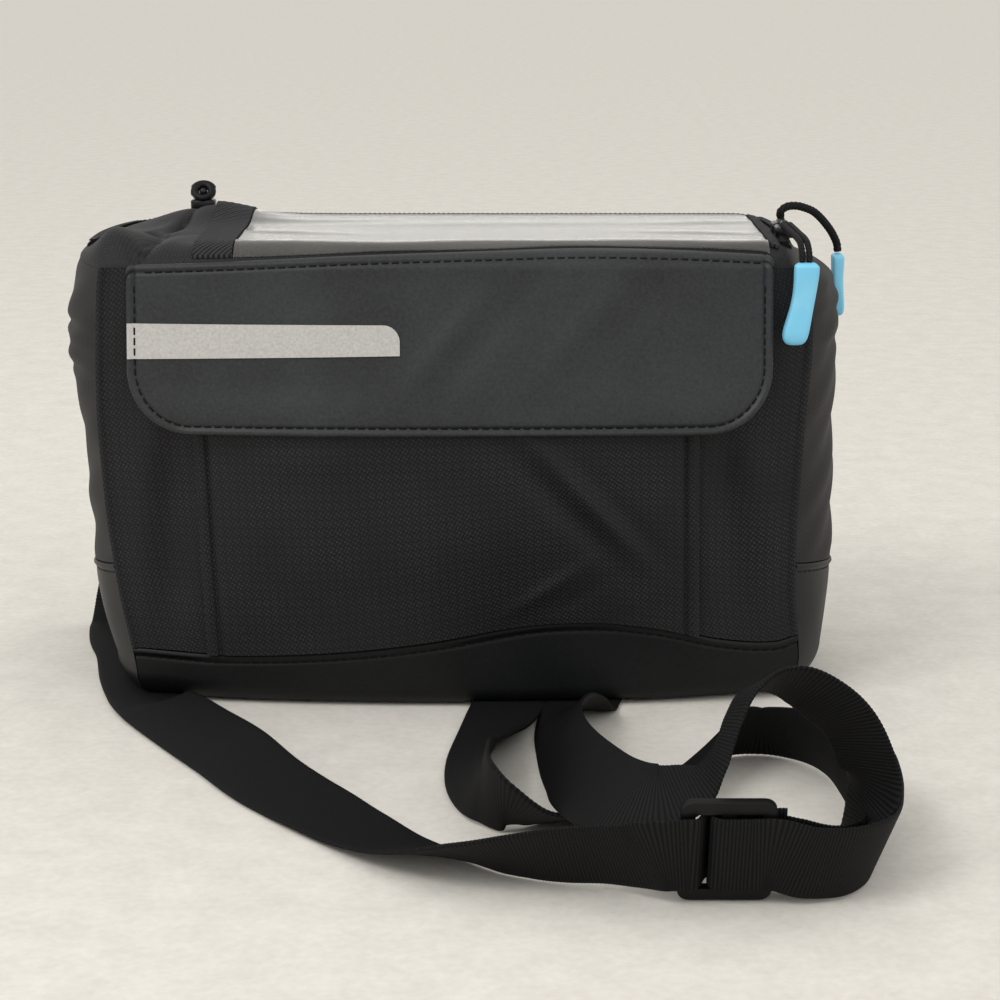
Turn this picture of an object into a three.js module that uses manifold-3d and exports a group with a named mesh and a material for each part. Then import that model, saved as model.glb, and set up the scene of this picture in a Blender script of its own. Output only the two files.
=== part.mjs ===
// Handlebar bag in millimetres: X to the right, Y to the back, Z up, origin in the middle of the base.
import * as THREE from 'three';
import { mergeVertices } from 'three/addons/utils/BufferGeometryUtils.js';
import Module from 'manifold-3d';

const wasm = await Module();
wasm.setup();

// Sizes of the bag
const CLOTH = 2;
const GAP = 0.4;
const SEAM_FRONT = -44;
const BACK = 48;
const WALL_TOP = 150;
const FRONT_POWER = 2.2;
const SIDE_POWER = 2.4;
const SIDE_BAND_TOP = 41;
const BASE_THICK = 2.5;
const EDGE_START = 15;
const CHANNEL_TOP = 2.2;
const ROOF = 2;

// Sizes of the flap, the stripe and the pocket
const FLAP = { left: -110, right: 103.8, low: 96.8, corner: 21.5, thick: 1.6 };
const FLAP_TOP = { left: 151.8, right: 157, corner: 6, lean: 8 };
const STRIPE = { left: -109.6, right: -19.4, lowLeft: 121.5, lowRight: 123.2, high: 133 };
const STRIPE_TAPE = { corner: 5.5, thick: 0.6, gap: 0.3 };
const POCKET = { leftTop: -89.5, leftLow: -86.5, rightTop: 80, rightLow: 81.4, top: 104, thick: 1.6 };
const POCKET_EDGE = 0.5;
const POCKET_SWELL = 5.5;

// Sizes of the lid and what lies on it
const LID = { rise: 7, left: 34, front: 12, back: 9, right: 14 };
const COVER_GAP = 0.7;
const WINDOW = { left: -74.5, right: 102.8, inset: 5.6, back: 40.5, thick: 1 };
const BINDING_LEFT = { left: -88, right: -75, inset: 5.6, back: 41, thick: 1.2 };
const BINDING_RIGHT = { left: 103.2, right: 106.4, inset: 7.5, back: 37, thick: 1.2 };
const ZIP = { outer: 2.5, inner: 6.5, thick: 1.6, gap: 0.9 };
const SLIDER = { long: 9, wide: 6.4, plate: 1.2, bridge: 1.1 };
const PULL_CORD = 3;

// Sizes of the webbing and its fittings
const STRAP = { wide: 25, thick: 1.4 };
const RING = { x: 96, y: 52.6, low: 104, high: 122, wide: 32, bar: 3 };
const WRAP = 3.1;
const BUCKLE = { x: 75, y: -217, z: 16.8, lean: 18, half: 13, halfWide: 17, thick: 2.5, corner: 3.4 };
const SLOT = { from: 2, to: 9, halfWide: 13 };
const THREAD = 2.3;

// Plan of the walls by height: the corner seams, the widest side points and how far the front bows out
const WALL_SECTIONS = [
  { z: 0, seamLeft: -110, sideLeft: -121, seamRight: 117, sideRight: 127, bow: 8 },
  { z: 22, seamLeft: -113.4, sideLeft: -128, seamRight: 116, sideRight: 130, bow: 8 },
  { z: 38, seamLeft: -116.4, sideLeft: -132, seamRight: 114.5, sideRight: 131.5, bow: 8 },
  { z: 62, seamLeft: -119.3, sideLeft: -133, seamRight: 114.3, sideRight: 131.5, bow: 8 },
  { z: 80, seamLeft: -120.6, sideLeft: -133.8, seamRight: 115, sideRight: 131, bow: 7.5 },
  { z: 100, seamLeft: -121.5, sideLeft: -135, seamRight: 116, sideRight: 130.6, bow: 7 },
  { z: 115, seamLeft: -121.4, sideLeft: -137.5, seamRight: 117, sideRight: 131, bow: 6 },
  { z: 125, seamLeft: -121, sideLeft: -137, seamRight: 117.5, sideRight: 132, bow: 5.5 },
  { z: 135, seamLeft: -120.5, sideLeft: -136, seamRight: 117, sideRight: 131, bow: 5 },
  { z: 143, seamLeft: -120, sideLeft: -134, seamRight: 114.5, sideRight: 129, bow: 4.5 },
  { z: 147, seamLeft: -119.5, sideLeft: -132.8, seamRight: 112.6, sideRight: 124.5, bow: 4.2 },
  { z: 150, seamLeft: -119, sideLeft: -131.5, seamRight: 111, sideRight: 116, bow: 4 },
];

// Creases that run across the side walls
const SIDE_FOLDS = [
  { side: 'left', z: 128, depth: 1.6, reach: 2.2 },
  { side: 'left', z: 121, depth: 0.8, reach: 2.2 },
  { side: 'left', z: 113.5, depth: 1.4, reach: 2.4 },
  { side: 'right', z: 140, depth: 1.2, reach: 2.2 },
  { side: 'right', z: 133, depth: 1.2, reach: 2.2 },
  { side: 'right', z: 122, depth: 1.2, reach: 2.4 },
];

// Upper edge of the front band and the rounding of the bottom edge along it
const FRONT_BAND = [
  { x: -113, top: 19, round: 11 },
  { x: -85, top: 17.8, round: 8 },
  { x: -45, top: 19.6, round: 7.2 },
  { x: -12, top: 23.4, round: 7 },
  { x: 22, top: 29.4, round: 7 },
  { x: 46, top: 30.3, round: 7.6 },
  { x: 66, top: 28, round: 9 },
  { x: 88, top: 23, round: 11.5 },
  { x: 106, top: 21.6, round: 14 },
  { x: 115, top: 24, round: 16 },
];
const BACK_ROUND = 8;

// Distance between the front wall and the flap's inner face
const FLAP_STANDOFF = [
  { z: 95, off: 8.6 },
  { z: 104, off: 8.2 },
  { z: 115, off: 6 },
  { z: 130, off: 3.4 },
  { z: 142, off: 1.6 },
  { z: 150, off: 0.8 },
  { z: 158, off: 0.8 },
];

// Soft dents in the pocket and soft humps in the lid
const POCKET_DENTS = [
  { x: -20, z: 76, depth: 2, reach: 22 },
  { x: 40, z: 46, depth: 1.6, reach: 20 },
  { x: 66, z: 60, depth: 1.6, reach: 14 },
];
const LID_HUMPS = [
  { x: -117, y: -30, high: 8, reachX: 10, reachY: 16 },
  { x: -90, y: 29, high: 5.5, reachX: 20, reachY: 13 },
];

// Grooves under the base that the webbing lies in
const CHANNEL_RIGHT = [[-2, -62], [58, -62], [88, 62], [20, 62]];
const CHANNEL_LEFT = [[-142, 64], [-113, 64], [-103, 20], [-96, -20], [-84, -46], [-90, -72], [-142, -72]];

const COLOURS = {
  coated: { color: '#26282b', roughness: 0.55, metalness: 0 },
  cloth: { color: '#1d1c20', roughness: 0.85, metalness: 0 },
  lid: { color: '#242528', roughness: 0.8, metalness: 0 },
  stripe: { color: '#a9a9a8', roughness: 0.5, metalness: 0 },
  film: { color: '#d5d8d8', roughness: 0.15, metalness: 0 },
  binding: { color: '#3a3a3c', roughness: 0.8, metalness: 0 },
  zip: { color: '#151517', roughness: 0.7, metalness: 0 },
  slider: { color: '#2a2a2d', roughness: 0.3, metalness: 0.8 },
  cord: { color: '#17171a', roughness: 0.7, metalness: 0 },
  rubber: { color: '#5cc0ee', roughness: 0.5, metalness: 0 },
  webbing: { color: '#1b1b1e', roughness: 0.8, metalness: 0 },
  acetal: { color: '#161618', roughness: 0.35, metalness: 0 },
};

const group = new THREE.Group();
group.name = 'handlebar_bag';

function place(name, look, geometry) {
  const mesh = new THREE.Mesh(geometry, new THREE.MeshStandardMaterial(COLOURS[look]));
  mesh.name = name;
  group.add(mesh);
}

const mix = THREE.MathUtils.lerp;
const rad = THREE.MathUtils.degToRad;
const clamp01 = (value) => THREE.MathUtils.clamp(value, 0, 1);

function spread(count, from = 0, to = 1) {
  return Array.from({ length: count + 1 }, (_, i) => mix(from, to, i / count));
}

// Reads one column of a sorted table with a smooth curve through its rows.
function read(table, key, column, at) {
  let i = 0;
  while (i < table.length - 2 && at > table[i + 1][key]) i += 1;
  const a = table[i];
  const b = table[i + 1];
  const before = table[Math.max(i - 1, 0)];
  const after = table[Math.min(i + 2, table.length - 1)];
  const step = b[key] - a[key];
  const t = clamp01((at - a[key]) / step);
  const slopeA = (b[column] - before[column]) / (b[key] - before[key]) * step;
  const slopeB = (after[column] - a[column]) / (after[key] - a[key]) * step;
  const rest = 1 - t;
  const ends = a[column] * rest * rest * (1 + 2 * t) + b[column] * t * t * (3 - 2 * t);
  return ends + slopeA * t * rest * rest - slopeB * t * t * rest;
}

// Closed body from an index list, turned so that its faces point out.
function closedBody(points, triangles) {
  let volume = 0;
  for (const [a, b, c] of triangles) {
    volume += new THREE.Vector3().crossVectors(points[a], points[b]).dot(points[c]);
  }
  const index = triangles.flatMap(([a, b, c]) => (volume > 0 ? [a, b, c] : [a, c, b]));
  const geometry = new THREE.BufferGeometry();
  geometry.setAttribute('position', new THREE.Float32BufferAttribute(points.flatMap((p) => p.toArray()), 3));
  geometry.setIndex(index);
  return geometry;
}

// Sheet between an outer and an inner face, both given over the same grid, with a rim all round.
function sheet(us, vs, outer, inner) {
  const wide = us.length;
  const high = vs.length;
  const points = [];
  for (const face of [outer, inner]) {
    for (const v of vs) {
      for (const u of us) points.push(face(u, v));
    }
  }
  const at = (i, j, layer) => layer * wide * high + j * wide + i;
  const triangles = [];
  const quad = (a, b, c, d) => triangles.push([a, b, c], [a, c, d]);
  for (let j = 0; j < high - 1; j += 1) {
    for (let i = 0; i < wide - 1; i += 1) {
      quad(at(i, j, 0), at(i + 1, j, 0), at(i + 1, j + 1, 0), at(i, j + 1, 0));
      quad(at(i, j, 1), at(i, j + 1, 1), at(i + 1, j + 1, 1), at(i + 1, j, 1));
    }
  }
  for (let i = 0; i < wide - 1; i += 1) {
    quad(at(i, 0, 0), at(i, 0, 1), at(i + 1, 0, 1), at(i + 1, 0, 0));
    quad(at(i, high - 1, 0), at(i + 1, high - 1, 0), at(i + 1, high - 1, 1), at(i, high - 1, 1));
  }
  for (let j = 0; j < high - 1; j += 1) {
    quad(at(0, j, 0), at(0, j + 1, 0), at(0, j + 1, 1), at(0, j, 1));
    quad(at(wide - 1, j, 0), at(wide - 1, j, 1), at(wide - 1, j + 1, 1), at(wide - 1, j + 1, 0));
  }
  return closedBody(points, triangles);
}

// Solid through rings of points, closed at both ends by a fan from the ring's middle.
function loft(rings) {
  const count = rings[0].length;
  const points = rings.flat();
  const triangles = [];
  for (let r = 0; r < rings.length - 1; r += 1) {
    for (let i = 0; i < count; i += 1) {
      const a = r * count + i;
      const b = r * count + (i + 1) % count;
      triangles.push([a, b, b + count], [a, b + count, a + count]);
    }
  }
  const middle = (ring) => ring.reduce((sum, p) => sum.add(p), new THREE.Vector3()).divideScalar(count);
  const last = (rings.length - 1) * count;
  points.push(middle(rings[0]), middle(rings[rings.length - 1]));
  for (let i = 0; i < count; i += 1) {
    const next = (i + 1) % count;
    triangles.push([points.length - 2, next, i], [points.length - 1, last + i, last + next]);
  }
  return closedBody(points, triangles);
}

function toSolid(geometry) {
  let welded = geometry.clone();
  welded.deleteAttribute('normal');
  welded.deleteAttribute('uv');
  welded = mergeVertices(welded);
  const vertProperties = new Float32Array(welded.attributes.position.array);
  const triVerts = new Uint32Array(welded.index.array);
  return new wasm.Manifold(new wasm.Mesh({ numProp: 3, vertProperties, triVerts }));
}

function fromSolid(solid) {
  const mesh = solid.getMesh();
  const geometry = new THREE.BufferGeometry();
  geometry.setAttribute('position', new THREE.BufferAttribute(mesh.vertProperties.slice(), 3));
  geometry.setIndex(new THREE.BufferAttribute(mesh.triVerts.slice(), 1));
  return geometry;
}

// Upright prism over a plan outline.
function prism(outline, low, high) {
  const shape = new THREE.Shape(outline.map(([x, y]) => new THREE.Vector2(x, y)));
  const geometry = new THREE.ExtrudeGeometry(shape, { depth: high - low, bevelEnabled: false });
  return geometry.translate(0, 0, low);
}

function foldDepth(side, z) {
  let depth = 0;
  for (const fold of SIDE_FOLDS) {
    if (fold.side === side) depth += fold.depth * Math.exp(-(((z - fold.z) / fold.reach) ** 2));
  }
  return depth;
}

// Outer wall line at one height; part runs 0 to 1 along a side, counter-clockwise from the front left seam.
function wallLine(side, part, z) {
  const at = (column) => read(WALL_SECTIONS, 'z', column, z);
  const away = Math.abs(2 * part - 1);
  if (side === 'front') {
    const bow = at('bow') * (1 - away ** FRONT_POWER);
    return new THREE.Vector2(mix(at('seamLeft'), at('seamRight'), part), SEAM_FRONT - bow);
  }
  if (side === 'back') return new THREE.Vector2(mix(at('seamRight'), at('seamLeft'), part), BACK);
  const swell = 1 - away ** SIDE_POWER;
  const crease = foldDepth(side, z) * swell;
  if (side === 'right') {
    const out = (at('sideRight') - at('seamRight')) * swell - crease;
    return new THREE.Vector2(at('seamRight') + out, mix(SEAM_FRONT, BACK, part));
  }
  const out = (at('seamLeft') - at('sideLeft')) * swell - crease;
  return new THREE.Vector2(at('seamLeft') - out, mix(BACK, SEAM_FRONT, part));
}

const SIDES = ['front', 'right', 'back', 'left'];
const PROBE = 0.002;
const SEAM_MARGIN = { front: 0.001, right: 0.0025, back: 0.001, left: 0.0025 };

function inwardAt(side, part, z) {
  const a = wallLine(side, clamp01(part - PROBE), z);
  const b = wallLine(side, clamp01(part + PROBE), z);
  return new THREE.Vector2(a.y - b.y, b.x - a.x).normalize();
}

// Wall point moved into the bag; at a seam the move lies on the mitre between the two walls.
function wallPoint(side, part, z, inset) {
  const point = wallLine(side, part, z);
  let inward = inwardAt(side, part, z);
  const i = SIDES.indexOf(side);
  const near = 2 * SEAM_MARGIN[side];
  let other = null;
  if (part < near) other = inwardAt(SIDES[(i + 3) % 4], 1, z);
  if (part > 1 - near) other = inwardAt(SIDES[(i + 1) % 4], 0, z);
  if (other) inward = inward.clone().add(other).divideScalar(1 + inward.dot(other));
  return point.addScaledVector(inward, inset);
}

const lift = (plan, z) => new THREE.Vector3(plan.x, plan.y, z);

// Rounding of the bottom edge: from the front corners to the back corners it changes evenly.
function edgeRound(side, part) {
  if (side === 'back') return BACK_ROUND;
  if (side === 'right') return mix(FRONT_BAND[FRONT_BAND.length - 1].round, BACK_ROUND, part);
  if (side === 'left') return mix(BACK_ROUND, FRONT_BAND[0].round, part);
  const x = mix(FRONT_BAND[0].x, FRONT_BAND[FRONT_BAND.length - 1].x, part);
  return read(FRONT_BAND, 'x', 'round', x);
}

const bandTop = (x) => read(FRONT_BAND, 'x', 'top', x);

// Point of a band: the first half of v goes round the bottom edge, the second half up the wall.
function bandPoint(side, part, v, depth, top) {
  const round = edgeRound(side, part);
  if (v <= 0.5) {
    const angle = rad(mix(EDGE_START, 90, v * 2));
    const radius = round - depth;
    const inset = round - radius * Math.sin(angle);
    return lift(wallPoint(side, part, round, inset), round - radius * Math.cos(angle));
  }
  const z = mix(round, top, v * 2 - 1);
  return lift(wallPoint(side, part, z, depth), z);
}

function partsOf(side, count) {
  return spread(count, SEAM_MARGIN[side], 1 - SEAM_MARGIN[side]);
}

function band(side, columns, rows, topAt) {
  const vs = [...spread(4, 0, 0.5), ...spread(rows, 0.5, 1).slice(1)];
  const top = (part) => topAt(wallLine(side, part, SIDE_BAND_TOP).x);
  const face = (depth) => (part, v) => bandPoint(side, part, v, depth, top(part));
  return sheet(partsOf(side, columns), vs, face(0), face(CLOTH));
}

function wall(side, columns, rows, lowAt) {
  const face = (depth) => (part, v) => {
    const z = mix(lowAt(wallLine(side, part, SIDE_BAND_TOP).x), WALL_TOP, v);
    return lift(wallPoint(side, part, z, depth), z);
  };
  return sheet(partsOf(side, columns), rows, face(0), face(CLOTH));
}

// Base plate with its grooves, and the bands that wrap the bottom edge
const channels = [CHANNEL_RIGHT, CHANNEL_LEFT].map((outline) => toSolid(prism(outline, -1, CHANNEL_TOP)));

function groove(geometry) {
  return fromSolid(channels.reduce((solid, channel) => solid.subtract(channel), toSolid(geometry)));
}

function baseOutline() {
  const outline = [];
  for (const side of SIDES) {
    for (const part of partsOf(side, side === 'back' ? 8 : 14)) {
      const round = edgeRound(side, part);
      const inset = round - (round - CLOTH) * Math.sin(rad(EDGE_START)) + GAP;
      const plan = wallPoint(side, part, round, inset);
      outline.push([plan.x, plan.y]);
    }
  }
  return outline;
}

function grownOutline(outline, grow) {
  const middle = outline.reduce((sum, [x, y]) => sum.add(new THREE.Vector2(x, y)), new THREE.Vector2());
  middle.divideScalar(outline.length);
  return outline.map(([x, y]) => [x + Math.sign(x - middle.x) * grow, y]);
}

function basePanel() {
  const outline = baseOutline();
  let solid = toSolid(prism(outline, 0, BASE_THICK));
  for (const channel of channels) solid = solid.subtract(channel);
  const inside = toSolid(prism(outline, 0, CHANNEL_TOP + ROOF));
  for (const channel of [CHANNEL_RIGHT, CHANNEL_LEFT]) {
    const roof = toSolid(prism(grownOutline(channel, ROOF), CHANNEL_TOP, CHANNEL_TOP + ROOF));
    solid = solid.add(roof.intersect(inside));
  }
  return fromSolid(solid);
}

place('base_panel', 'coated', basePanel());
place('front_band', 'coated', groove(band('front', 20, 2, bandTop)));
place('side_band_right', 'coated', band('right', 10, 3, () => SIDE_BAND_TOP));
place('side_band_left', 'coated', groove(band('left', 10, 3, () => SIDE_BAND_TOP)));

// Cloth walls above the bands; rows lie closer where the sides are creased
const EVEN_ROWS = spread(9);
const SIDE_ROWS = [...spread(3, 0, 0.58), ...spread(14, 0.63, 1)];
place('front_panel', 'cloth', wall('front', 18, EVEN_ROWS, (x) => bandTop(x) + GAP));
place('side_panel_right', 'cloth', wall('right', 8, SIDE_ROWS, () => SIDE_BAND_TOP + GAP));
place('side_panel_left', 'cloth', wall('left', 8, SIDE_ROWS, () => SIDE_BAND_TOP + GAP));
place('back_panel', 'cloth', groove(band('back', 4, 4, () => WALL_TOP)));

// Front wall as a surface over x and z
function frontY(x, z) {
  const left = read(WALL_SECTIONS, 'z', 'seamLeft', z);
  const right = read(WALL_SECTIONS, 'z', 'seamRight', z);
  return wallLine('front', clamp01((x - left) / (right - left)), z).y;
}

// Bellows pocket: close to the wall at its sides and foot, swollen in its middle, open at the top
function pocketSwell(u, v, x, z) {
  const across = 1 - Math.abs(2 * u - 1) ** 4;
  const up = Math.sin(Math.min(v * 1.5, 1) * Math.PI / 2);
  let off = POCKET_EDGE + POCKET_SWELL * across * up;
  for (const dent of POCKET_DENTS) {
    const away = ((x - dent.x) ** 2 + (z - dent.z) ** 2) / dent.reach ** 2;
    off -= dent.depth * across * up * Math.exp(-away);
  }
  return off;
}

function pocketFace(depth) {
  return (u, v) => {
    const x = mix(mix(POCKET.leftLow, POCKET.leftTop, v), mix(POCKET.rightLow, POCKET.rightTop, v), u);
    const z = mix(bandTop(x) + GAP, POCKET.top, v);
    return new THREE.Vector3(x, frontY(x, z) - pocketSwell(u, v, x, z) - depth, z);
  };
}

place('front_pocket', 'cloth', sheet(spread(18), spread(9), pocketFace(POCKET.thick), pocketFace(0)));

// Flap: hangs over the front with round corners; its upper edge rises to the right and leans on the lid
function roundedOff(x, corner) {
  const inside = Math.max(corner - Math.min(x - FLAP.left, FLAP.right - x), 0);
  return corner - Math.sqrt(Math.max(corner ** 2 - inside ** 2, 0));
}

function flapBack(x, z) {
  if (z <= WALL_TOP) return frontY(x, z);
  const climb = (z - WALL_TOP) / FLAP_TOP.lean;
  return frontY(x, WALL_TOP) + LID.front * (1 - Math.sqrt(1 - climb ** 2));
}

function flapFace(depth) {
  return (u, v) => {
    const x = mix(FLAP.left, FLAP.right, u);
    const low = FLAP.low + roundedOff(x, FLAP.corner);
    const high = mix(FLAP_TOP.left, FLAP_TOP.right, u) - roundedOff(x, FLAP_TOP.corner);
    const z = mix(low, high, v);
    return new THREE.Vector3(x, flapBack(x, z) - read(FLAP_STANDOFF, 'z', 'off', z) - depth, z);
  };
}

const cornerTurn = (angle) => FLAP.corner * (1 - Math.cos(rad(angle))) / (FLAP.right - FLAP.left);
const cornerUs = spread(5, 0, 90).map(cornerTurn);
const flapMiddle = spread(9, cornerUs[5], 1 - cornerUs[5]).slice(1, -1);
const flapUs = [...cornerUs, ...flapMiddle, ...cornerUs.map((u) => 1 - u).reverse()];
const flapVs = [...spread(8, 0, 0.88), 0.92, 0.95, 0.975, 1];
place('front_flap', 'coated', sheet(flapUs, flapVs, flapFace(FLAP.thick), flapFace(0)));

// Stripe: a thin tape on the flap's outer face with one round corner
function stripeHigh(x) {
  const corner = STRIPE_TAPE.corner;
  const inside = Math.max(corner - (STRIPE.right - x), 0);
  return STRIPE.high - corner + Math.sqrt(corner ** 2 - inside ** 2);
}

function stripeFace(depth) {
  return (u, v) => {
    const x = mix(STRIPE.left, STRIPE.right, u);
    const z = mix(mix(STRIPE.lowLeft, STRIPE.lowRight, u), stripeHigh(x), v);
    const off = read(FLAP_STANDOFF, 'z', 'off', z) + FLAP.thick + STRIPE_TAPE.gap + depth;
    return new THREE.Vector3(x, frontY(x, z) - off, z);
  };
}

const stripeUs = [...spread(8, 0, 0.94), 0.965, 0.985, 1];
const stripeBody = sheet(stripeUs, spread(3), stripeFace(STRIPE_TAPE.thick), stripeFace(0));
place('reflective_stripe', 'stripe', stripeBody);

// Lid: a crowned cloth top with round edges; the same height is used by all that lies on it
const roundUp = (away, reach) => Math.sqrt(1 - (1 - clamp01(away / reach)) ** 2);

function sideX(side, y) {
  const part = side === 'right' ? (y - SEAM_FRONT) / (BACK - SEAM_FRONT) : (BACK - y) / (BACK - SEAM_FRONT);
  return wallLine(side, clamp01(part), WALL_TOP).x;
}

function lidTop(x, y) {
  let high = LID.rise * roundUp(x - sideX('left', y), LID.left) * roundUp(sideX('right', y) - x, LID.right);
  high *= roundUp(y - frontY(x, WALL_TOP), LID.front) * roundUp(BACK - y, LID.back);
  for (const hump of LID_HUMPS) {
    const away = ((x - hump.x) / hump.reachX) ** 2 + ((y - hump.y) / hump.reachY) ** 2;
    high += hump.high * Math.exp(-away) * Math.min(high / LID.rise, 1);
  }
  return WALL_TOP + GAP + high;
}

function lidPlan(u, v) {
  const x0 = mix(sideX('left', SEAM_FRONT), sideX('right', SEAM_FRONT), u);
  const y = mix(frontY(x0, WALL_TOP), BACK, v);
  return new THREE.Vector2(mix(sideX('left', y), sideX('right', y), u), y);
}

const LID_MIDDLE = new THREE.Vector2(-4, 0);
const LID_HALF = new THREE.Vector2(122, 48);
function lidInner(u, v) {
  const plan = lidPlan(u, v);
  const top = lidTop(plan.x, plan.y) - WALL_TOP - GAP;
  const inner = plan.clone().sub(LID_MIDDLE);
  inner.x *= 1 - CLOTH / LID_HALF.x;
  inner.y *= 1 - CLOTH / LID_HALF.y;
  return lift(inner.add(LID_MIDDLE), WALL_TOP + GAP + top * (1 - CLOTH / LID.rise));
}

function lidOuter(u, v) {
  const plan = lidPlan(u, v);
  return lift(plan, lidTop(plan.x, plan.y));
}

const EDGE_U = [0, 0.005, 0.017, 0.034, 0.055];
const EDGE_V = [0, 0.012, 0.04, 0.085, 0.14];

function bothEnds(edge, count) {
  const last = edge[edge.length - 1];
  return [...edge, ...spread(count, last, 1 - last).slice(1, -1), ...edge.map((u) => 1 - u).reverse()];
}

place('lid', 'lid', sheet(bothEnds(EDGE_U, 14), bothEnds(EDGE_V, 7), lidOuter, lidInner));

// Film and bindings follow the lid a small gap above it
function onLid(area, columns, rows) {
  const face = (height) => (u, v) => {
    const x = mix(area.left, area.right, u);
    const y = mix(frontY(x, WALL_TOP) + area.inset, area.back, v);
    return new THREE.Vector3(x, y, lidTop(x, y) + COVER_GAP + height);
  };
  return sheet(spread(columns), [0, 0.04, ...spread(rows, 0.1, 0.92), 1], face(area.thick), face(0));
}

place('map_window', 'film', onLid(WINDOW, 13, 6));
place('window_binding_left', 'binding', onLid(BINDING_LEFT, 3, 10));
place('window_binding_right', 'binding', onLid(BINDING_RIGHT, 1, 6));

// Zip: one strip from the right side round the back to the left side
const ZIP_PATH = [
  ...spread(8, 0.17, 0.96).map((part) => ['right', part]),
  ...spread(14, 0.02, 0.98).map((part) => ['back', part]),
  ...spread(8, 0.04, 0.7).map((part) => ['left', part]),
];

function zipFace(height) {
  return (u, v) => {
    const [side, part] = ZIP_PATH[v];
    const plan = wallPoint(side, part, WALL_TOP, mix(ZIP.outer, ZIP.inner, u));
    return lift(plan, lidTop(plan.x, plan.y) + ZIP.gap + height);
  };
}

place('lid_zip', 'zip', sheet(spread(2), ZIP_PATH.map((_, i) => i), zipFace(ZIP.thick), zipFace(0)));

// Zip sliders: a plate with a bridge over it, drawn from the side and made as wide as the slider
function sliderBody(x, y, turn) {
  const half = SLIDER.long / 2;
  const top = SLIDER.plate + 2 * SLIDER.bridge;
  const shape = new THREE.Shape();
  shape.moveTo(-half, 0);
  shape.lineTo(half, 0);
  shape.lineTo(half, SLIDER.plate * 0.6);
  shape.lineTo(half * 0.7, SLIDER.plate);
  shape.quadraticCurveTo(half * 0.6, top, 0, top);
  shape.quadraticCurveTo(-half * 0.6, top, -half * 0.7, SLIDER.plate);
  shape.lineTo(-half, SLIDER.plate * 0.6);
  shape.closePath();
  const hole = new THREE.Path();
  const middle = SLIDER.plate + SLIDER.bridge * 0.6;
  hole.absellipse(0, middle, half * 0.4, SLIDER.bridge * 0.55, 0, Math.PI * 2, true);
  shape.holes.push(hole);
  const options = { depth: SLIDER.wide, bevelEnabled: false, curveSegments: 6 };
  const geometry = new THREE.ExtrudeGeometry(shape, options);
  geometry.translate(0, 0, -SLIDER.wide / 2).rotateX(Math.PI / 2).rotateZ(turn);
  return geometry.translate(x, y, sliderFoot(x, y, turn));
}

// The foot of a slider stands clear of the highest zip point under it.
function sliderFoot(x, y, turn) {
  let high = 0;
  for (const along of spread(4, -SLIDER.long / 2, SLIDER.long / 2)) {
    for (const side of spread(4, -SLIDER.wide / 2, SLIDER.wide / 2)) {
      const px = x + along * Math.cos(turn) - side * Math.sin(turn);
      const py = y + along * Math.sin(turn) + side * Math.cos(turn);
      high = Math.max(high, lidTop(px, py));
    }
  }
  return high + ZIP.gap + ZIP.thick + GAP;
}

const SLIDER_LEFT = { x: -95, y: 43.5, turn: 0 };
const SLIDER_FRONT = { x: 111.5, y: -8, turn: Math.PI / 2 };
const SLIDER_BACK = { x: 111.5, y: 2.5, turn: Math.PI / 2 };
place('zip_slider_left', 'slider', sliderBody(SLIDER_LEFT.x, SLIDER_LEFT.y, SLIDER_LEFT.turn));
place('zip_slider_right_front', 'slider', sliderBody(SLIDER_FRONT.x, SLIDER_FRONT.y, SLIDER_FRONT.turn));
place('zip_slider_right_back', 'slider', sliderBody(SLIDER_BACK.x, SLIDER_BACK.y, SLIDER_BACK.turn));

// Pulls: a small ring on the left slider and two cords with rubber ends on the right ones
const LOOP = { radius: 2.9, tube: 1.1, lean: 62 };
const sliderTop = (slider) => sliderFoot(slider.x, slider.y, slider.turn) + SLIDER.plate + 2 * SLIDER.bridge;
const loopRise = LOOP.radius * Math.cos(rad(LOOP.lean)) + LOOP.tube + GAP;
const loopRing = new THREE.TorusGeometry(LOOP.radius, LOOP.tube, 7, 16);
loopRing.rotateX(Math.PI / 2 + rad(LOOP.lean));
loopRing.translate(SLIDER_LEFT.x, SLIDER_LEFT.y, sliderTop(SLIDER_LEFT) + loopRise);
place('pull_loop_left', 'cord', loopRing);

// Columns of the cord paths: x, y, z
const PULL_FRONT_PATH = [
  [111.5, -13.2, 161],
  [112.5, -30, 160.3],
  [113.2, -46, 159.4],
  [113.4, -51.5, 156.4],
  [113.4, -52.5, 154.2],
];
const PULL_SIDE_PATH = [
  [116, 2.5, 164.2],
  [119, 4, 165],
  [124, 8, 162.6],
  [130, 14, 156.4],
  [133.4, 17.6, 150.8],
  [134, 18, 148.6],
];

function cordTube(path, steps) {
  const curve = new THREE.CatmullRomCurve3(path.map((p) => new THREE.Vector3(...p)));
  const circle = new THREE.Shape().absarc(0, 0, PULL_CORD / 2, 0, Math.PI * 2);
  const options = { extrudePath: curve, steps, curveSegments: 5, bevelEnabled: false };
  return new THREE.ExtrudeGeometry(circle, options);
}

place('pull_cord_front', 'cord', cordTube(PULL_FRONT_PATH, 16));
place('pull_cord_side', 'cord', cordTube(PULL_SIDE_PATH, 14));

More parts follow.
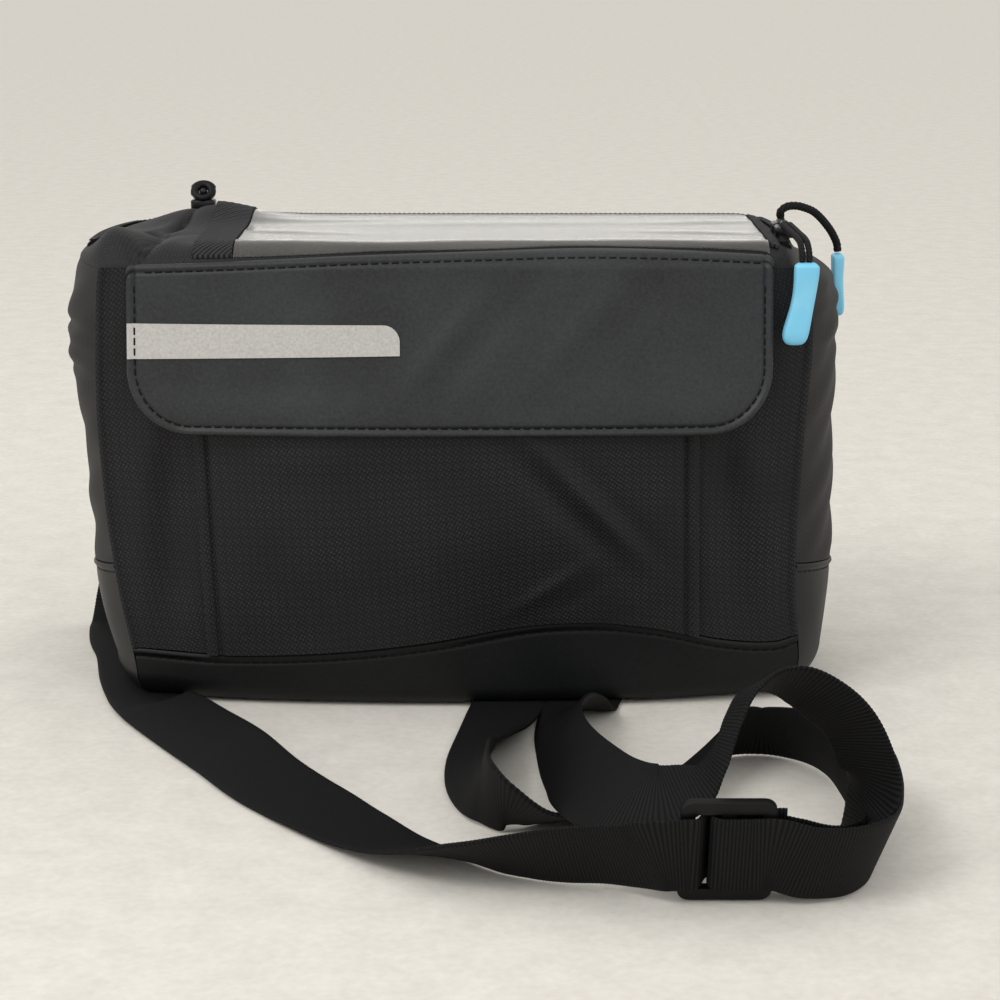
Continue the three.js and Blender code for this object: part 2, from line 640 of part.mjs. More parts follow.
// Rubber ends: sections from the cord down, as a share of the full size and of the sideways move
const PULL_END_SECTIONS = [
  { down: 0, share: 0.65, shift: 0 },
  { down: 0.08, share: 0.94, shift: 0 },
  { down: 0.3, share: 1, shift: 0.05 },
  { down: 0.6, share: 1, shift: 0.3 },
  { down: 0.85, share: 0.96, shift: 0.8 },
  { down: 0.96, share: 0.75, shift: 1 },
  { down: 1, share: 0.45, shift: 1 },
];
const PULL_END_POINTS = 14;
const PULL_END_POWER = 0.6;
const PULL_END_FRONT = { x: 113.5, y: -52.5, high: 153.2, low: 125, shift: -3, halfX: 4.1, halfY: 3 };
const PULL_END_SIDE = { x: 134.1, y: 18, high: 147, low: 124.5, shift: 0.5, halfX: 2.1, halfY: 4.1 };

function pullEnd(size) {
  const squared = (value) => Math.sign(value) * Math.abs(value) ** PULL_END_POWER;
  const angles = spread(PULL_END_POINTS, 0, Math.PI * 2).slice(0, -1);
  const ring = (row) => angles.map((angle) => new THREE.Vector3(
    size.x + row.shift * size.shift + row.share * size.halfX * squared(Math.cos(angle)),
    size.y + row.share * size.halfY * squared(Math.sin(angle)),
    mix(size.high, size.low, row.down),
  ));
  return loft(PULL_END_SECTIONS.map(ring));
}

place('pull_end_front', 'rubber', pullEnd(PULL_END_FRONT));
place('pull_end_side', 'rubber', pullEnd(PULL_END_SIDE));

// Webbing: a flat band through rows of middle point and width direction
const UP = new THREE.Vector3(0, 0, 1);
const buckleW = new THREE.Vector3(0, -Math.sin(rad(BUCKLE.lean)), Math.cos(rad(BUCKLE.lean)));
const buckleN = new THREE.Vector3(0, -Math.cos(rad(BUCKLE.lean)), -Math.sin(rad(BUCKLE.lean)));

function atBuckle(s, n) {
  const point = new THREE.Vector3(BUCKLE.x + s, BUCKLE.y, BUCKLE.z);
  return point.addScaledVector(buckleN, n);
}

// Width direction from its turn about the upright and its rise above the floor
function across(turn, rise) {
  const flat = Math.cos(rad(rise));
  return new THREE.Vector3(flat * Math.cos(rad(turn)), flat * Math.sin(rad(turn)), Math.sin(rad(rise)));
}

function rows(table) {
  const row = ([x, y, z, turn, rise]) => ({ mid: new THREE.Vector3(x, y, z), wide: across(turn, rise) });
  return table.map(row);
}

// Columns of the strap tables: x, y, z, turn, rise
const STRAP_LEFT = rows([
  [-108, 50, 95, 180, 0],
  [-112.5, 51, 75, 180, 0],
  [-119, 53, 50, 180, 0],
  [-126, 55, 25, 180, 0],
  [-130, 52, 7, 180, 0],
  [-130.5, 46, 1.6, 180, 0],
  [-130, 38, 1, 183, 0],
  [-127, 22, 1, 190, 0],
  [-121.8, 5, 1, 193, 0],
  [-116, -22, 1, 193, 0],
  [-109.5, -44, 1.1, 199, 0],
  [-106, -53, 1.5, 202, -3],
  [-101.5, -62.5, 4.2, 205, -15],
  [-86, -88, 5.1, 210, -20],
  [-72, -110, 5.5, 211, -22],
  [-60, -129, 4.3, 214, -16],
  [-50, -142, 3.5, 218, -12],
  [-40, -154, 2.6, 224, -8],
  [-30, -165, 1.6, 230, -3],
  [-18, -179, 2.6, 236, 8],
  [-6, -191.5, 5.1, 238, 20],
  [6, -201, 8, 242, 36],
  [18, -205.5, 9.9, 245, 48],
  [29, -208, 11.2, 248, 57],
  [40, -210.5, 12.5, 250, 60],
  [50, -215, 13.8, 256, 63],
  [57, -218.6, 15.4, 264, 70],
]);

// Columns of the thread table: along the slider and out of its face
const THREAD_IN = [
  [-11, 2.4],
  [-8.4, 2.2],
  [-6.9, 0],
  [-5.6, -2.4],
  [-3.6, -4.2],
  [0, -4.4],
  [10, -4.6],
  [20, -5],
];
const STRAP_IN = THREAD_IN.map(([s, n]) => ({ mid: atBuckle(s, n), wide: buckleW }));

// Standing arch and the loop behind it
const STRAP_ARCH = rows([
  [102, -209.5, 14, 285, 70],
  [107.5, -204, 12.5, 290, 64],
  [111, -198, 14, 285, 42],
  [115, -195, 20, 291, 27],
  [117, -195.5, 28, 302, 23],
  [115, -195.5, 36, 300, 28],
  [110.5, -195.5, 45, 295, 36],
  [103.5, -195.5, 52, 287, 44],
  [96, -195, 56.5, 273, 43],
  [88, -195, 57.5, 267, 29],
  [82, -197, 55, 271, 16],
  [78, -200, 48.5, 272, 12],
  [74, -203.5, 38.5, 270, 5],
  [70, -205, 32.5, 268, -6],
  [63, -206.5, 30, 268, -16],
  [54, -206.5, 28.5, 264, -23],
  [45.5, -199, 26, 240, -27],
  [39.5, -183, 23, 222, -38],
  [35.5, -165, 20.5, 206, -53],
  [33.5, -146, 17.5, 194, -61],
  [32.5, -124, 14, 183, -60],
  [33, -104, 11.4, 180, -53],
  [34.5, -86, 9, 180, -40],
  [37.5, -70, 5.4, 177, -21],
  [39.5, -61, 2.7, 173, -7],
  [41, -54, 1.1, 170, 0],
  [43, -44, 1, 166, 0],
  [54, 0, 1, 166, 0],
  [66, 46, 1, 166, 0],
  [67.3, 51.5, 1.7, 167, 1],
  [68.6, 55.6, 5.5, 169, 4],
  [70.8, 57, 14, 176, 11],
  [75, 55, 25, 180, 15],
  [82, 52.5, 50, 180, 15],
  [90, 50.6, 75, 180, 12],
  [95, 49.6, 95, 180, 2],
]);

// The wrap over the ring's lower bar
const RING_BAR = new THREE.Vector3(RING.x, RING.y, RING.low + RING.bar / 2);
const STRAP_WRAP = spread(6, 180, 0).map((angle) => ({
  mid: new THREE.Vector3(0, Math.cos(rad(angle)), Math.sin(rad(angle))).multiplyScalar(WRAP).add(RING_BAR),
  wide: across(180, 0),
}));

// Back down, under the bag, round the near loop and along the outside to the slider
const STRAP_OUTSIDE = rows([
  [95, 56.6, 98, 180, 6],
  [88, 59, 84, 180, 20],
  [76, 62, 66, 180, 22],
  [62, 65.5, 45, 180, 22],
  [51, 68.5, 22, 178, 16],
  [46.5, 67.5, 7, 172, 6],
  [43.5, 60, 1.3, 167, 0],
  [40, 46, 1, 166, 0],
  [28.5, 0, 1, 166, 0],
  [17, -48, 1, 166, 0],
  [15.5, -56, 1.2, 170, -1],
  [12, -80, 3.1, 171, -10],
  [8, -104, 5.9, 175, -24],
  [6.3, -121, 8.1, 183, -36],
  [6, -135, 10.2, 191, -48],
  [6.8, -146, 11.7, 202, -60],
  [8.2, -156.5, 13.3, 222, -78],
  [10.8, -164.8, 12.4, 90, -72],
  [16, -170, 10.3, 106, -46],
  [25, -170, 6.8, 97, -30],
  [36, -163, 4.7, 100, -18],
  [52, -154, 4.4, 130, -16],
  [66, -139, 7.4, 145, -32],
  [77, -121, 9.9, 138, -48],
  [88, -108, 11.2, 112, -56],
  [97, -105.5, 10.7, 82, -54],
  [105, -109.5, 11.2, 48, -58],
  [111.5, -117.5, 11.9, 35, -66],
  [118, -130, 12.9, 20, -88],
  [122.5, -143, 12.5, 176, -75],
  [124.5, -155, 12, 174, -66],
  [124.6, -169, 11.9, 167, -66],
  [123.2, -187.5, 12.1, 155, -69],
  [119, -204.2, 12, 138, -68],
  [110, -214.5, 12.4, 119, -70],
  [98, -218.8, 13.6, 100, -71],
]);

// Round the slider's middle bar to the cut end
const THREAD_OUT = [[13, THREAD], [6, THREAD], [-2, THREAD]];
const turnStep = (angle) => [-SLOT.from - THREAD * Math.sin(rad(angle)), THREAD * Math.cos(rad(angle))];
const THREAD_TURN = spread(4, 60, 180).map(turnStep);
const THREAD_TAIL = [[6, -THREAD], [14, -THREAD], [22, -THREAD]];
const down = buckleW.clone().negate();
const THREAD_ALL = [...THREAD_OUT, ...THREAD_TURN, ...THREAD_TAIL];
const STRAP_OUT = THREAD_ALL.map(([s, n]) => ({ mid: atBuckle(s, n), wide: down }));

const ROUTE = [...STRAP_LEFT, ...STRAP_IN, ...STRAP_ARCH, ...STRAP_WRAP, ...STRAP_OUTSIDE, ...STRAP_OUT];

// Band along the route: the width direction is squared to the path, then four corners make each ring
function bandAlong(route, size) {
  const rings = route.map((row, i) => {
    const before = route[Math.max(i - 1, 0)].mid;
    const after = route[Math.min(i + 1, route.length - 1)].mid;
    const arriving = row.mid.clone().sub(before).normalize();
    const leaving = after.clone().sub(row.mid).normalize();
    const ahead = arriving.add(leaving).normalize();
    const wide = row.wide.clone().addScaledVector(ahead, -row.wide.dot(ahead)).normalize();
    const thick = new THREE.Vector3().crossVectors(ahead, wide);
    wide.multiplyScalar(size.wide / 2);
    thick.multiplyScalar(size.thick / 2);
    const corner = (a, b) => row.mid.clone().addScaledVector(wide, a).addScaledVector(thick, b);
    return [corner(-1, -1), corner(1, -1), corner(1, 1), corner(-1, 1)];
  });
  return loft(rings);
}

place('shoulder_strap', 'webbing', bandAlong(ROUTE, STRAP));

// Three-bar slider: a rounded frame with two slots, leaning with the webbing
function roundedFrame(halfX, halfY, corner, path) {
  path.moveTo(-halfX + corner, -halfY);
  path.lineTo(halfX - corner, -halfY);
  path.quadraticCurveTo(halfX, -halfY, halfX, -halfY + corner);
  path.lineTo(halfX, halfY - corner);
  path.quadraticCurveTo(halfX, halfY, halfX - corner, halfY);
  path.lineTo(-halfX + corner, halfY);
  path.quadraticCurveTo(-halfX, halfY, -halfX, halfY - corner);
  path.lineTo(-halfX, -halfY + corner);
  path.quadraticCurveTo(-halfX, -halfY, -halfX + corner, -halfY);
  return path;
}

function buckleBody() {
  const shape = roundedFrame(BUCKLE.half, BUCKLE.halfWide, BUCKLE.corner, new THREE.Shape());
  const options = { depth: BUCKLE.thick, bevelEnabled: false, curveSegments: 5 };
  const plate = new THREE.ExtrudeGeometry(shape, options);
  let solid = toSolid(plate.translate(0, 0, -BUCKLE.thick / 2));
  for (const side of [-1, 1]) {
    const slot = new THREE.BoxGeometry(SLOT.to - SLOT.from, 2 * SLOT.halfWide, 2 * BUCKLE.thick);
    solid = solid.subtract(toSolid(slot.translate(side * (SLOT.from + SLOT.to) / 2, 0, 0)));
  }
  const frame = new THREE.Matrix4().makeBasis(new THREE.Vector3(1, 0, 0), buckleW, buckleN);
  return fromSolid(solid).applyMatrix4(frame).translate(BUCKLE.x, BUCKLE.y, BUCKLE.z);
}

place('strap_slider', 'acetal', buckleBody());

// Ring at the back, the tab that carries it and the tab over the strap's sewn end
function ringBody() {
  const height = RING.high - RING.low;
  const shape = roundedFrame(RING.wide / 2, height / 2, RING.bar, new THREE.Shape());
  const inner = roundedFrame(RING.wide / 2 - RING.bar, height / 2 - RING.bar, 1, new THREE.Path());
  shape.holes.push(inner);
  const options = { depth: RING.bar, bevelEnabled: false, curveSegments: 4 };
  const geometry = new THREE.ExtrudeGeometry(shape, options);
  geometry.translate(0, 0, -RING.bar / 2).rotateX(Math.PI / 2);
  return geometry.translate(RING.x, RING.y, (RING.low + RING.high) / 2);
}

place('strap_ring', 'acetal', ringBody());

const TAB_BAR = RING.high - RING.bar / 2;
const TAB_TOP = 138;
const tabRow = (y, z) => ({ mid: new THREE.Vector3(RING.x, y, z), wide: across(180, 0) });

function tabStep(angle) {
  return tabRow(RING.y + WRAP * Math.cos(rad(angle)), TAB_BAR + WRAP * Math.sin(rad(angle)));
}

const TAB_FRONT = [tabRow(53.4, 127), tabRow(51.5, 132), tabRow(51.4, TAB_TOP)];
const TAB_ROUTE = [tabRow(RING.y - WRAP, TAB_TOP), ...spread(6, 180, 360).map(tabStep), ...TAB_FRONT];
place('strap_tab_right', 'webbing', bandAlong(TAB_ROUTE, STRAP));

const TAB_LEFT = { x: -108, y: 52.4, low: 84, high: 106, thick: 1.4 };
const tabPatch = new THREE.BoxGeometry(STRAP.wide, TAB_LEFT.thick, TAB_LEFT.high - TAB_LEFT.low);
tabPatch.translate(TAB_LEFT.x, TAB_LEFT.y, (TAB_LEFT.low + TAB_LEFT.high) / 2);
place('strap_tab_left', 'webbing', tabPatch);

export default group;
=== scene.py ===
# %% [markdown]
# # A handlebar bag in cells
# The bag is a box of coated cloth with a flap-covered pocket, a zipped lid with a clear map window
# and a long webbing strap that lies in loops on the floor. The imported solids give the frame. Each
# soft piece is then made again here with its true surface, seams and weave, in the same place.

# %% Load the frame
import math
from types import SimpleNamespace as Sizes

import bpy
import numpy as np
from mathutils import Matrix, Vector


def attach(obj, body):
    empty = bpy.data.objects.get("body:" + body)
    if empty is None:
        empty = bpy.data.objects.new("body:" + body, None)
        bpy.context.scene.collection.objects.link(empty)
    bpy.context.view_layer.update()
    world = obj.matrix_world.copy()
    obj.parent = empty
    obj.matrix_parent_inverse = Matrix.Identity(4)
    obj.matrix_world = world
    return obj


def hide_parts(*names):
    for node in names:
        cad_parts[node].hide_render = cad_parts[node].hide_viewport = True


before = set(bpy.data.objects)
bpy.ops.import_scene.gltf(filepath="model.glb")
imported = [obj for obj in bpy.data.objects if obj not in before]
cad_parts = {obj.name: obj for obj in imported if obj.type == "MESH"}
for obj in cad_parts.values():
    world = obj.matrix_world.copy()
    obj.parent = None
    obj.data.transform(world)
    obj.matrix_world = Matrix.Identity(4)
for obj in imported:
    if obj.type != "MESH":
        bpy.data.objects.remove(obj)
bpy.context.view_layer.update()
MM = 0.001
STRAP_WIDE, STRAP_THICK, RIB, RIB_DEEP = 25, 1.4, 1.0, 0.11
print("nodes:", len(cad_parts))

# %% [markdown]
# ## Tables and soft forms
# The bag's shape changes slowly from row to row, so short tables hold the sizes that a maker would
# measure, in millimetres, and a smooth curve is read through them. A cloth simulation could drape
# the panels, but it would not leave the folds where the photograph has them. So every dent and fold
# is a row of a table too: its middle, its depth, how far it reaches and how it slants.

# %% Table reading
def table(names, *rows):
    return dict(zip(names.split(), np.array(rows, float).T))


def through(keys, values, at):
    """Smooth curve through the values that stand at rising keys, read at any place."""
    at = np.asarray(at, float)
    i = np.clip(np.searchsorted(keys, at) - 1, 0, len(keys) - 2)
    before, after = np.maximum(i - 1, 0), np.minimum(i + 2, len(keys) - 1)
    step = keys[i + 1] - keys[i]
    t = np.clip((at - keys[i]) / step, 0, 1)
    slope_a = (values[i + 1] - values[before]) / (keys[i + 1] - keys[before]) * step
    slope_b = (values[after] - values[i]) / (keys[after] - keys[i]) * step
    rest = 1 - t
    ends = values[i] * rest**2 * (1 + 2 * t) + values[i + 1] * t**2 * (3 - 2 * t)
    return ends + slope_a * t * rest**2 - slope_b * t**2 * rest


def read(rows, key, name, at):
    return through(rows[key], rows[name], at)


def mix(a, b, t):
    return a + (b - a) * t


# %% Soft forms
def bell(distance, reach):
    return np.exp(-((distance / reach) ** 2))


def round_up(away, reach):
    """Quarter circle that climbs from 0 at an edge to 1 at the reach."""
    return np.sqrt(np.clip(1 - (1 - np.clip(away / reach, 0, 1)) ** 2, 0, 1))


def dents(rows, x, y, sharp_below=-math.inf):
    """Sum of rows of middle x and y, depth, reach in x and y, and slant of x with y."""
    total = np.zeros(np.shape(x))
    for at_x, at_y, deep, reach_x, reach_y, slant in rows:
        shifted = x - at_x - slant * (y - at_y)
        crease = deep < sharp_below
        across = np.exp(-np.abs(shifted) / reach_x) if crease else bell(shifted, reach_x)
        total = total + deep * across * bell(y - at_y, reach_y)
    return total


# %% Lines and steps
def unit(rows):
    return rows / np.linalg.norm(rows, axis=1)[:, None]


def along(points):
    """Distance of each point along a line of points."""
    steps = np.linalg.norm(np.diff(points, axis=0), axis=1)
    return np.concatenate([[0], np.cumsum(steps)])


def spaced(low, high, step):
    return np.linspace(low, high, max(int(round((high - low) / step)), 1) + 1)


def round_ends(share, fine, count):
    """Steps from 0 to 1 that crowd towards both ends, as a round edge needs."""
    edge = share * (1 - np.cos(np.linspace(0, math.pi / 2, fine)))
    return np.concatenate([edge, np.linspace(share, 1 - share, count)[1:-1], 1 - edge[::-1]])


def fine_ends(low, high, fine, count):
    """Steps from 0 to 1 that are finer below low and above high, where the seams are."""
    middle = np.linspace(low, high, count)[1:-1]
    return np.concatenate([np.linspace(0, low, fine), middle, np.linspace(high, 1, fine)])


# %% [markdown]
# ## Sheets
# A sheet of cloth is a grid of points on two faces with a rim all round. A plane with a solidify
# modifier would look alike, but its inside couldn't differ from its outside. One function makes
# all sheets. It also lays a flat pattern over each in real metres, so a weave follows the cloth.

# %% Sheets with two faces
SMOOTH_ANGLE = math.radians(50)


def new_piece(name, points, faces, uv=None):
    mesh = bpy.data.meshes.new(name)
    mesh.from_pydata((np.asarray(points) * MM).tolist(), [], faces)
    if uv is not None:
        layer = mesh.uv_layers.new(name="weave")
        corners = np.zeros(len(mesh.loops), int)
        mesh.loops.foreach_get("vertex_index", corners)
        layer.data.foreach_set("uv", (np.asarray(uv) * MM)[corners].ravel())
    mesh.polygons.foreach_set("use_smooth", [True] * len(mesh.polygons))
    mesh.set_sharp_from_angle(angle=SMOOTH_ANGLE)
    mesh.update()
    piece = bpy.data.objects.new(name, mesh)
    bpy.context.collection.objects.link(piece)
    return piece


def volume_of(points, quads):
    a, b, c, d = (points[quads[:, i]] for i in range(4))
    first = np.einsum("ij,ij->i", np.cross(a, b), c)
    second = np.einsum("ij,ij->i", np.cross(a, c), d)
    return (first + second).sum()


def with_material(piece, material, slot, *nodes):
    piece.data.materials.append(material)
    if nodes:
        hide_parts(*nodes)
    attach(piece, "root")
    print(piece.name, len(piece.data.polygons), "faces")
    return piece


def sheet_piece(name, us, vs, face, depths, material, slot, node):
    """Cloth between face(u, v, depth) at its outer and its inner depth."""
    u, v = np.meshgrid(us, vs)
    layers = [np.stack(np.broadcast_arrays(*face(u, v, depth)), -1) for depth in depths]
    high, wide = u.shape
    count = high * wide
    index = np.arange(count).reshape(high, wide)
    square = (index[:-1, :-1], index[:-1, 1:], index[1:, 1:], index[1:, :-1])
    front = np.stack(square, -1).reshape(-1, 4)
    rim = np.concatenate([index[0], index[1:, -1], index[-1, -2::-1], index[-2:0:-1, 0]])
    follow = np.roll(rim, -1)
    sides = np.stack([follow, rim, rim + count, follow + count], -1)
    quads = np.concatenate([front, front[:, ::-1] + count, sides])
    points = np.concatenate([layer.reshape(-1, 3) for layer in layers])
    if volume_of(points, quads) < 0:
        quads = quads[:, ::-1]
    across, up = along(layers[0][high // 2]), along(layers[0][:, wide // 2])
    flat = np.stack(np.meshgrid(across, up), -1).reshape(-1, 2)
    piece = new_piece(name, points, quads.tolist(), np.concatenate([flat, flat]))
    return with_material(piece, material, slot, node)


# %% [markdown]
# ## Camera, floor and light
# The photograph was taken a little above the bag with a long lens. The camera stands 0.8 m in
# front of the middle and looks 14 degrees down. The floor is a pale felt-like sheet that runs far
# back, and large soft lights leave only a faint shadow round the strap.

# %% Camera and floor
FLOOR_SIZE, FLOOR_SINK, FLOOR_CUTS = 60, 0.0002, 20
LENS_MM, SENSOR_MM = 82.8, 36
CAMERA_AT, CAMERA_DOWN = (0.0135, -0.8, 0.26), 14

scene = bpy.context.scene
scene.view_settings.view_transform = "Standard"
lens = bpy.data.cameras.new("camera")
lens.lens, lens.sensor_width = LENS_MM, SENSOR_MM
camera = bpy.data.objects.new("camera", lens)
camera.location = CAMERA_AT
camera.rotation_euler = (math.radians(90 - CAMERA_DOWN), 0, 0)
bpy.context.collection.objects.link(camera)
scene.camera = camera

bpy.ops.object.select_all(action="DESELECT")
bpy.ops.mesh.primitive_plane_add(size=FLOOR_SIZE, location=(0, 0, -FLOOR_SINK))
floor = bpy.context.object
floor.name = "floor"
bpy.ops.object.mode_set(mode="EDIT")
bpy.ops.mesh.subdivide(number_cuts=FLOOR_CUTS)
bpy.ops.object.mode_set(mode="OBJECT")
bpy.ops.object.transform_apply(location=True, rotation=True, scale=True)


# %% Lights
def soft_light(name, place, aim, size, power, colour):
    lamp = bpy.data.lights.new(name, "AREA")
    lamp.shape, lamp.size, lamp.size_y = "RECTANGLE", size[0], size[1]
    lamp.energy, lamp.color = power, colour
    light = bpy.data.objects.new(name, lamp)
    light.location = place
    light.rotation_euler = (Vector(aim) - Vector(place)).to_track_quat("-Z", "Y").to_euler()
    bpy.context.collection.objects.link(light)


soft_light("key", (-0.75, -0.75, 1.25), (0, -0.05, 0.08), (0.7, 0.6), 7.5, (1.0, 0.985, 0.96))
soft_light("fill", (0.9, -1.3, 1.1), (0, 0, 0.08), (1.2, 1.0), 2.5, (0.97, 0.98, 1.0))
world = bpy.data.worlds.new("studio")
world.use_nodes = True
WORLD_COLOUR, WORLD_LIGHT = (1.0, 0.978, 0.945, 1), 0.9
world.node_tree.nodes["Background"].inputs["Color"].default_value = WORLD_COLOUR
world.node_tree.nodes["Background"].inputs["Strength"].default_value = WORLD_LIGHT
scene.world = world
print("camera, floor and two lights")


# %% [markdown]
# ## Materials
# A material starts from its base colour as a hex value. One small function adds a node, sets it
# and links it. Patterns read the sheet's own flat map or object coordinates, and their scale comes
# from a size in millimetres.

# %% Material helpers
def linear(colour):
    parts = [int(colour[i : i + 2], 16) / 255 for i in (1, 3, 5)]
    bright = [p / 12.92 if p <= 0.04045 else ((p + 0.055) / 1.055) ** 2.4 for p in parts]
    return (*bright, 1)


def add(tree, kind, inputs=None, **settings):
    node = tree.nodes.new("ShaderNode" + kind)
    for name, value in settings.items():
        setattr(node, name, value)
    for name, value in (inputs or {}).items():
        if isinstance(value, bpy.types.Node):
            value = value.outputs[0]
        if isinstance(value, bpy.types.NodeSocket):
            tree.links.new(value, node.inputs[name])
        else:
            node.inputs[name].default_value = value
    return node


def new_material(name, colour, roughness, **sockets):
    material = bpy.data.materials.new(name)
    material.use_nodes = True
    tree = material.node_tree
    shader = tree.nodes["Principled BSDF"]
    shader.inputs["Base Color"].default_value = linear(colour)
    shader.inputs["Roughness"].default_value = roughness
    for socket, value in sockets.items():
        shader.inputs[socket.replace("_", " ")].default_value = value
    return material, tree, shader


def per_mm(size):
    return 1 / (size * MM)


def relief(tree, shader, height, depth_mm, strength):
    inputs = {"Height": height, "Strength": strength, "Distance": depth_mm * MM}
    bump = add(tree, "Bump", inputs)
    tree.links.new(bump.outputs["Normal"], shader.inputs["Normal"])


def shaded(tree, shader, factor, dark, light):
    inputs = {0: factor, 6: linear(dark), 7: linear(light)}
    blend = add(tree, "Mix", inputs, data_type="RGBA")
    tree.links.new(blend.outputs[2], shader.inputs["Base Color"])


# %% [markdown]
# Coated cloth is polyester with a satin polymer film on its face. The film has a fine pebble grain
# and slow changes of gloss, and no weave can be seen. The slow cloud also makes the colour lighter
# and darker in broad patches: that is painted sheen, while the fine grain is the film's own tone.

# %% Coated cloth
def coated_cloth(name, dark, light, shine):
    material, tree, shader = new_material(name, dark, 0.5, Specular_IOR_Level=shine)
    place = add(tree, "TexCoord").outputs["Object"]
    grain = add(tree, "TexNoise", {"Vector": place, "Scale": per_mm(1.1), "Detail": 3.0})
    cloud = add(tree, "TexNoise", {"Vector": place, "Scale": per_mm(38), "Detail": 2.0})
    both = add(tree, "Math", {0: grain, 1: cloud})
    tone = add(tree, "MapRange", {0: both, 1: 0.65, 2: 1.35})
    # Colour from grain and cloud: the grain is the film's own tone, the broad cloud is painted
    # sheen.
    shaded(tree, shader, tone, dark, light)
    gloss = add(tree, "MapRange", {0: cloud, 1: 0.3, 2: 0.7, 3: 0.4, 4: 0.56})
    tree.links.new(gloss.outputs[0], shader.inputs["Roughness"])
    relief(tree, shader, grain, 0.12, 0.35)
    return material


# %% [markdown]
# The walls and the pocket are a dobby cloth: small floats of thread lie in slanting rows, with a
# faint square grid of sunken threads. The thread is finer than the picture can show, so the floats
# are drawn 1.15 mm apart.

# %% Wall cloth
def weave_waves(tree, flat, pitch, turn):
    turned = {"Vector": flat, "Rotation": (0, 0, math.radians(turn))}
    spun = add(tree, "Mapping", turned)
    inputs = {"Vector": spun, "Scale": per_mm(pitch) * math.pi / 10}
    return add(tree, "TexWave", inputs, wave_profile="SIN").outputs["Fac"]


def wall_cloth(name, dark, light, depth):
    material, tree, shader = new_material(name, dark, 0.62, Specular_IOR_Level=0.3)
    flat = add(tree, "UVMap", uv_map="weave").outputs[0]
    rows = weave_waves(tree, flat, 1.15, 32)
    floats = weave_waves(tree, flat, 1.3, -58)
    dots = add(tree, "Math", {0: rows, 1: floats}, operation="MULTIPLY")
    grid_x = weave_waves(tree, flat, 2.9, 0)
    grid_y = weave_waves(tree, flat, 2.9, 90)
    grid = add(tree, "Math", {0: grid_x, 1: grid_y}, operation="MAXIMUM")
    sharp = add(tree, "Math", {0: grid, 1: 6.0}, operation="POWER")
    cloud = add(tree, "TexNoise", {"Vector": flat, "Scale": per_mm(22), "Detail": 3.0})
    faint = add(tree, "Math", {0: sharp, 1: 0.3}, operation="MULTIPLY")
    pattern = add(tree, "Math", {0: dots, 1: faint}, operation="SUBTRACT")
    tone = add(tree, "Math", {0: pattern, 1: cloud}, operation="MULTIPLY")
    shaded(tree, shader, tone, dark, light)
    relief(tree, shader, pattern, depth, 0.5)
    return material


# %% [markdown]
# Grey reflective tape is full of tiny glass beads, so it is pale, even and a little speckled.

# %% Reflective tape
def reflective_tape():
    material, tree, shader = new_material("glass bead reflective tape", "#a9a9a8", 0.42)
    place = add(tree, "TexCoord").outputs["Object"]
    beads = add(tree, "TexNoise", {"Vector": place, "Scale": per_mm(0.9), "Detail": 4.0})
    shaded(tree, shader, beads, "#9a9997", "#cbc9c5")
    relief(tree, shader, beads, 0.05, 0.3)
    return material


# %% [markdown]
# The window is soft clear film. What lies under it shows through, a faint haze is added, and where
# the film is seen at a low angle it mirrors the room and looks white.

# %% Clear film
def clear_film():
    name = "plasticised PVC film"
    material, tree, shader = new_material(name, "#333332", 0.17, Specular_IOR_Level=0.27)
    place = add(tree, "TexCoord").outputs["Object"]
    haze = add(tree, "TexNoise", {"Vector": place, "Scale": per_mm(26), "Detail": 3.0})
    shaded(tree, shader, haze, "#252524", "#3b3a39")
    relief(tree, shader, haze, 0.5, 0.12)
    clear = add(tree, "BsdfTransparent", {"Color": linear("#d8d8d6")})
    both = add(tree, "AddShader", {0: clear, 1: shader})
    tree.links.new(both.outputs[0], tree.nodes["Material Output"].inputs["Surface"])
    return material


# %% [markdown]
# Webbing, tapes and cords are woven from dull plastic yarn. The big ribs are in the mesh; the
# material adds the yarns that slant across each rib.

# %% Woven tapes
def woven_tape(name, dark, light, pitch, turn, depth):
    material, tree, shader = new_material(name, dark, 0.7, Specular_IOR_Level=0.14)
    flat = add(tree, "UVMap", uv_map="weave").outputs[0]
    one = weave_waves(tree, flat, pitch, turn)
    two = weave_waves(tree, flat, pitch * 0.6, turn + 80)
    both = add(tree, "Math", {0: two, 1: 0.5}, operation="ADD")
    yarn = add(tree, "Math", {0: one, 1: both}, operation="MULTIPLY")
    shaded(tree, shader, yarn, dark, light)
    relief(tree, shader, yarn, depth, 0.5)
    return material


# %% [markdown]
# The slider on the strap and the ring are moulded acetal with a faint satin texture. The zip parts
# are zinc under black paint, so they are smoother and shine a little. The pull ends are soft
# rubber. The floor is pale felt, matt and a little mottled.

# %% Moulded and painted parts
def moulded(name, dark, light, roughness, grain_mm, **sockets):
    material, tree, shader = new_material(name, dark, roughness, **sockets)
    place = add(tree, "TexCoord").outputs["Object"]
    grain = add(tree, "TexNoise", {"Vector": place, "Scale": per_mm(grain_mm), "Detail": 3.0})
    cloud = add(tree, "TexNoise", {"Vector": place, "Scale": per_mm(grain_mm * 12)})
    shaded(tree, shader, cloud, dark, light)
    relief(tree, shader, grain, 0.05, 0.25)
    return material


def felt_floor():
    material, tree, shader = new_material("pale paper felt", "#dedbd5", 0.9, Specular_IOR_Level=0.2)
    place = add(tree, "TexCoord").outputs["Object"]
    fibre = add(tree, "TexNoise", {"Vector": place, "Scale": per_mm(3), "Detail": 5.0})
    cloud = add(tree, "TexNoise", {"Vector": place, "Scale": per_mm(14), "Detail": 5.0})
    both = add(tree, "Math", {0: fibre, 1: cloud})
    tone = add(tree, "MapRange", {0: both, 1: 0.6, 2: 1.4})
    shaded(tree, shader, tone, "#d5d2cb", "#e6e3dc")
    relief(tree, shader, fibre, 0.3, 0.2)
    return material


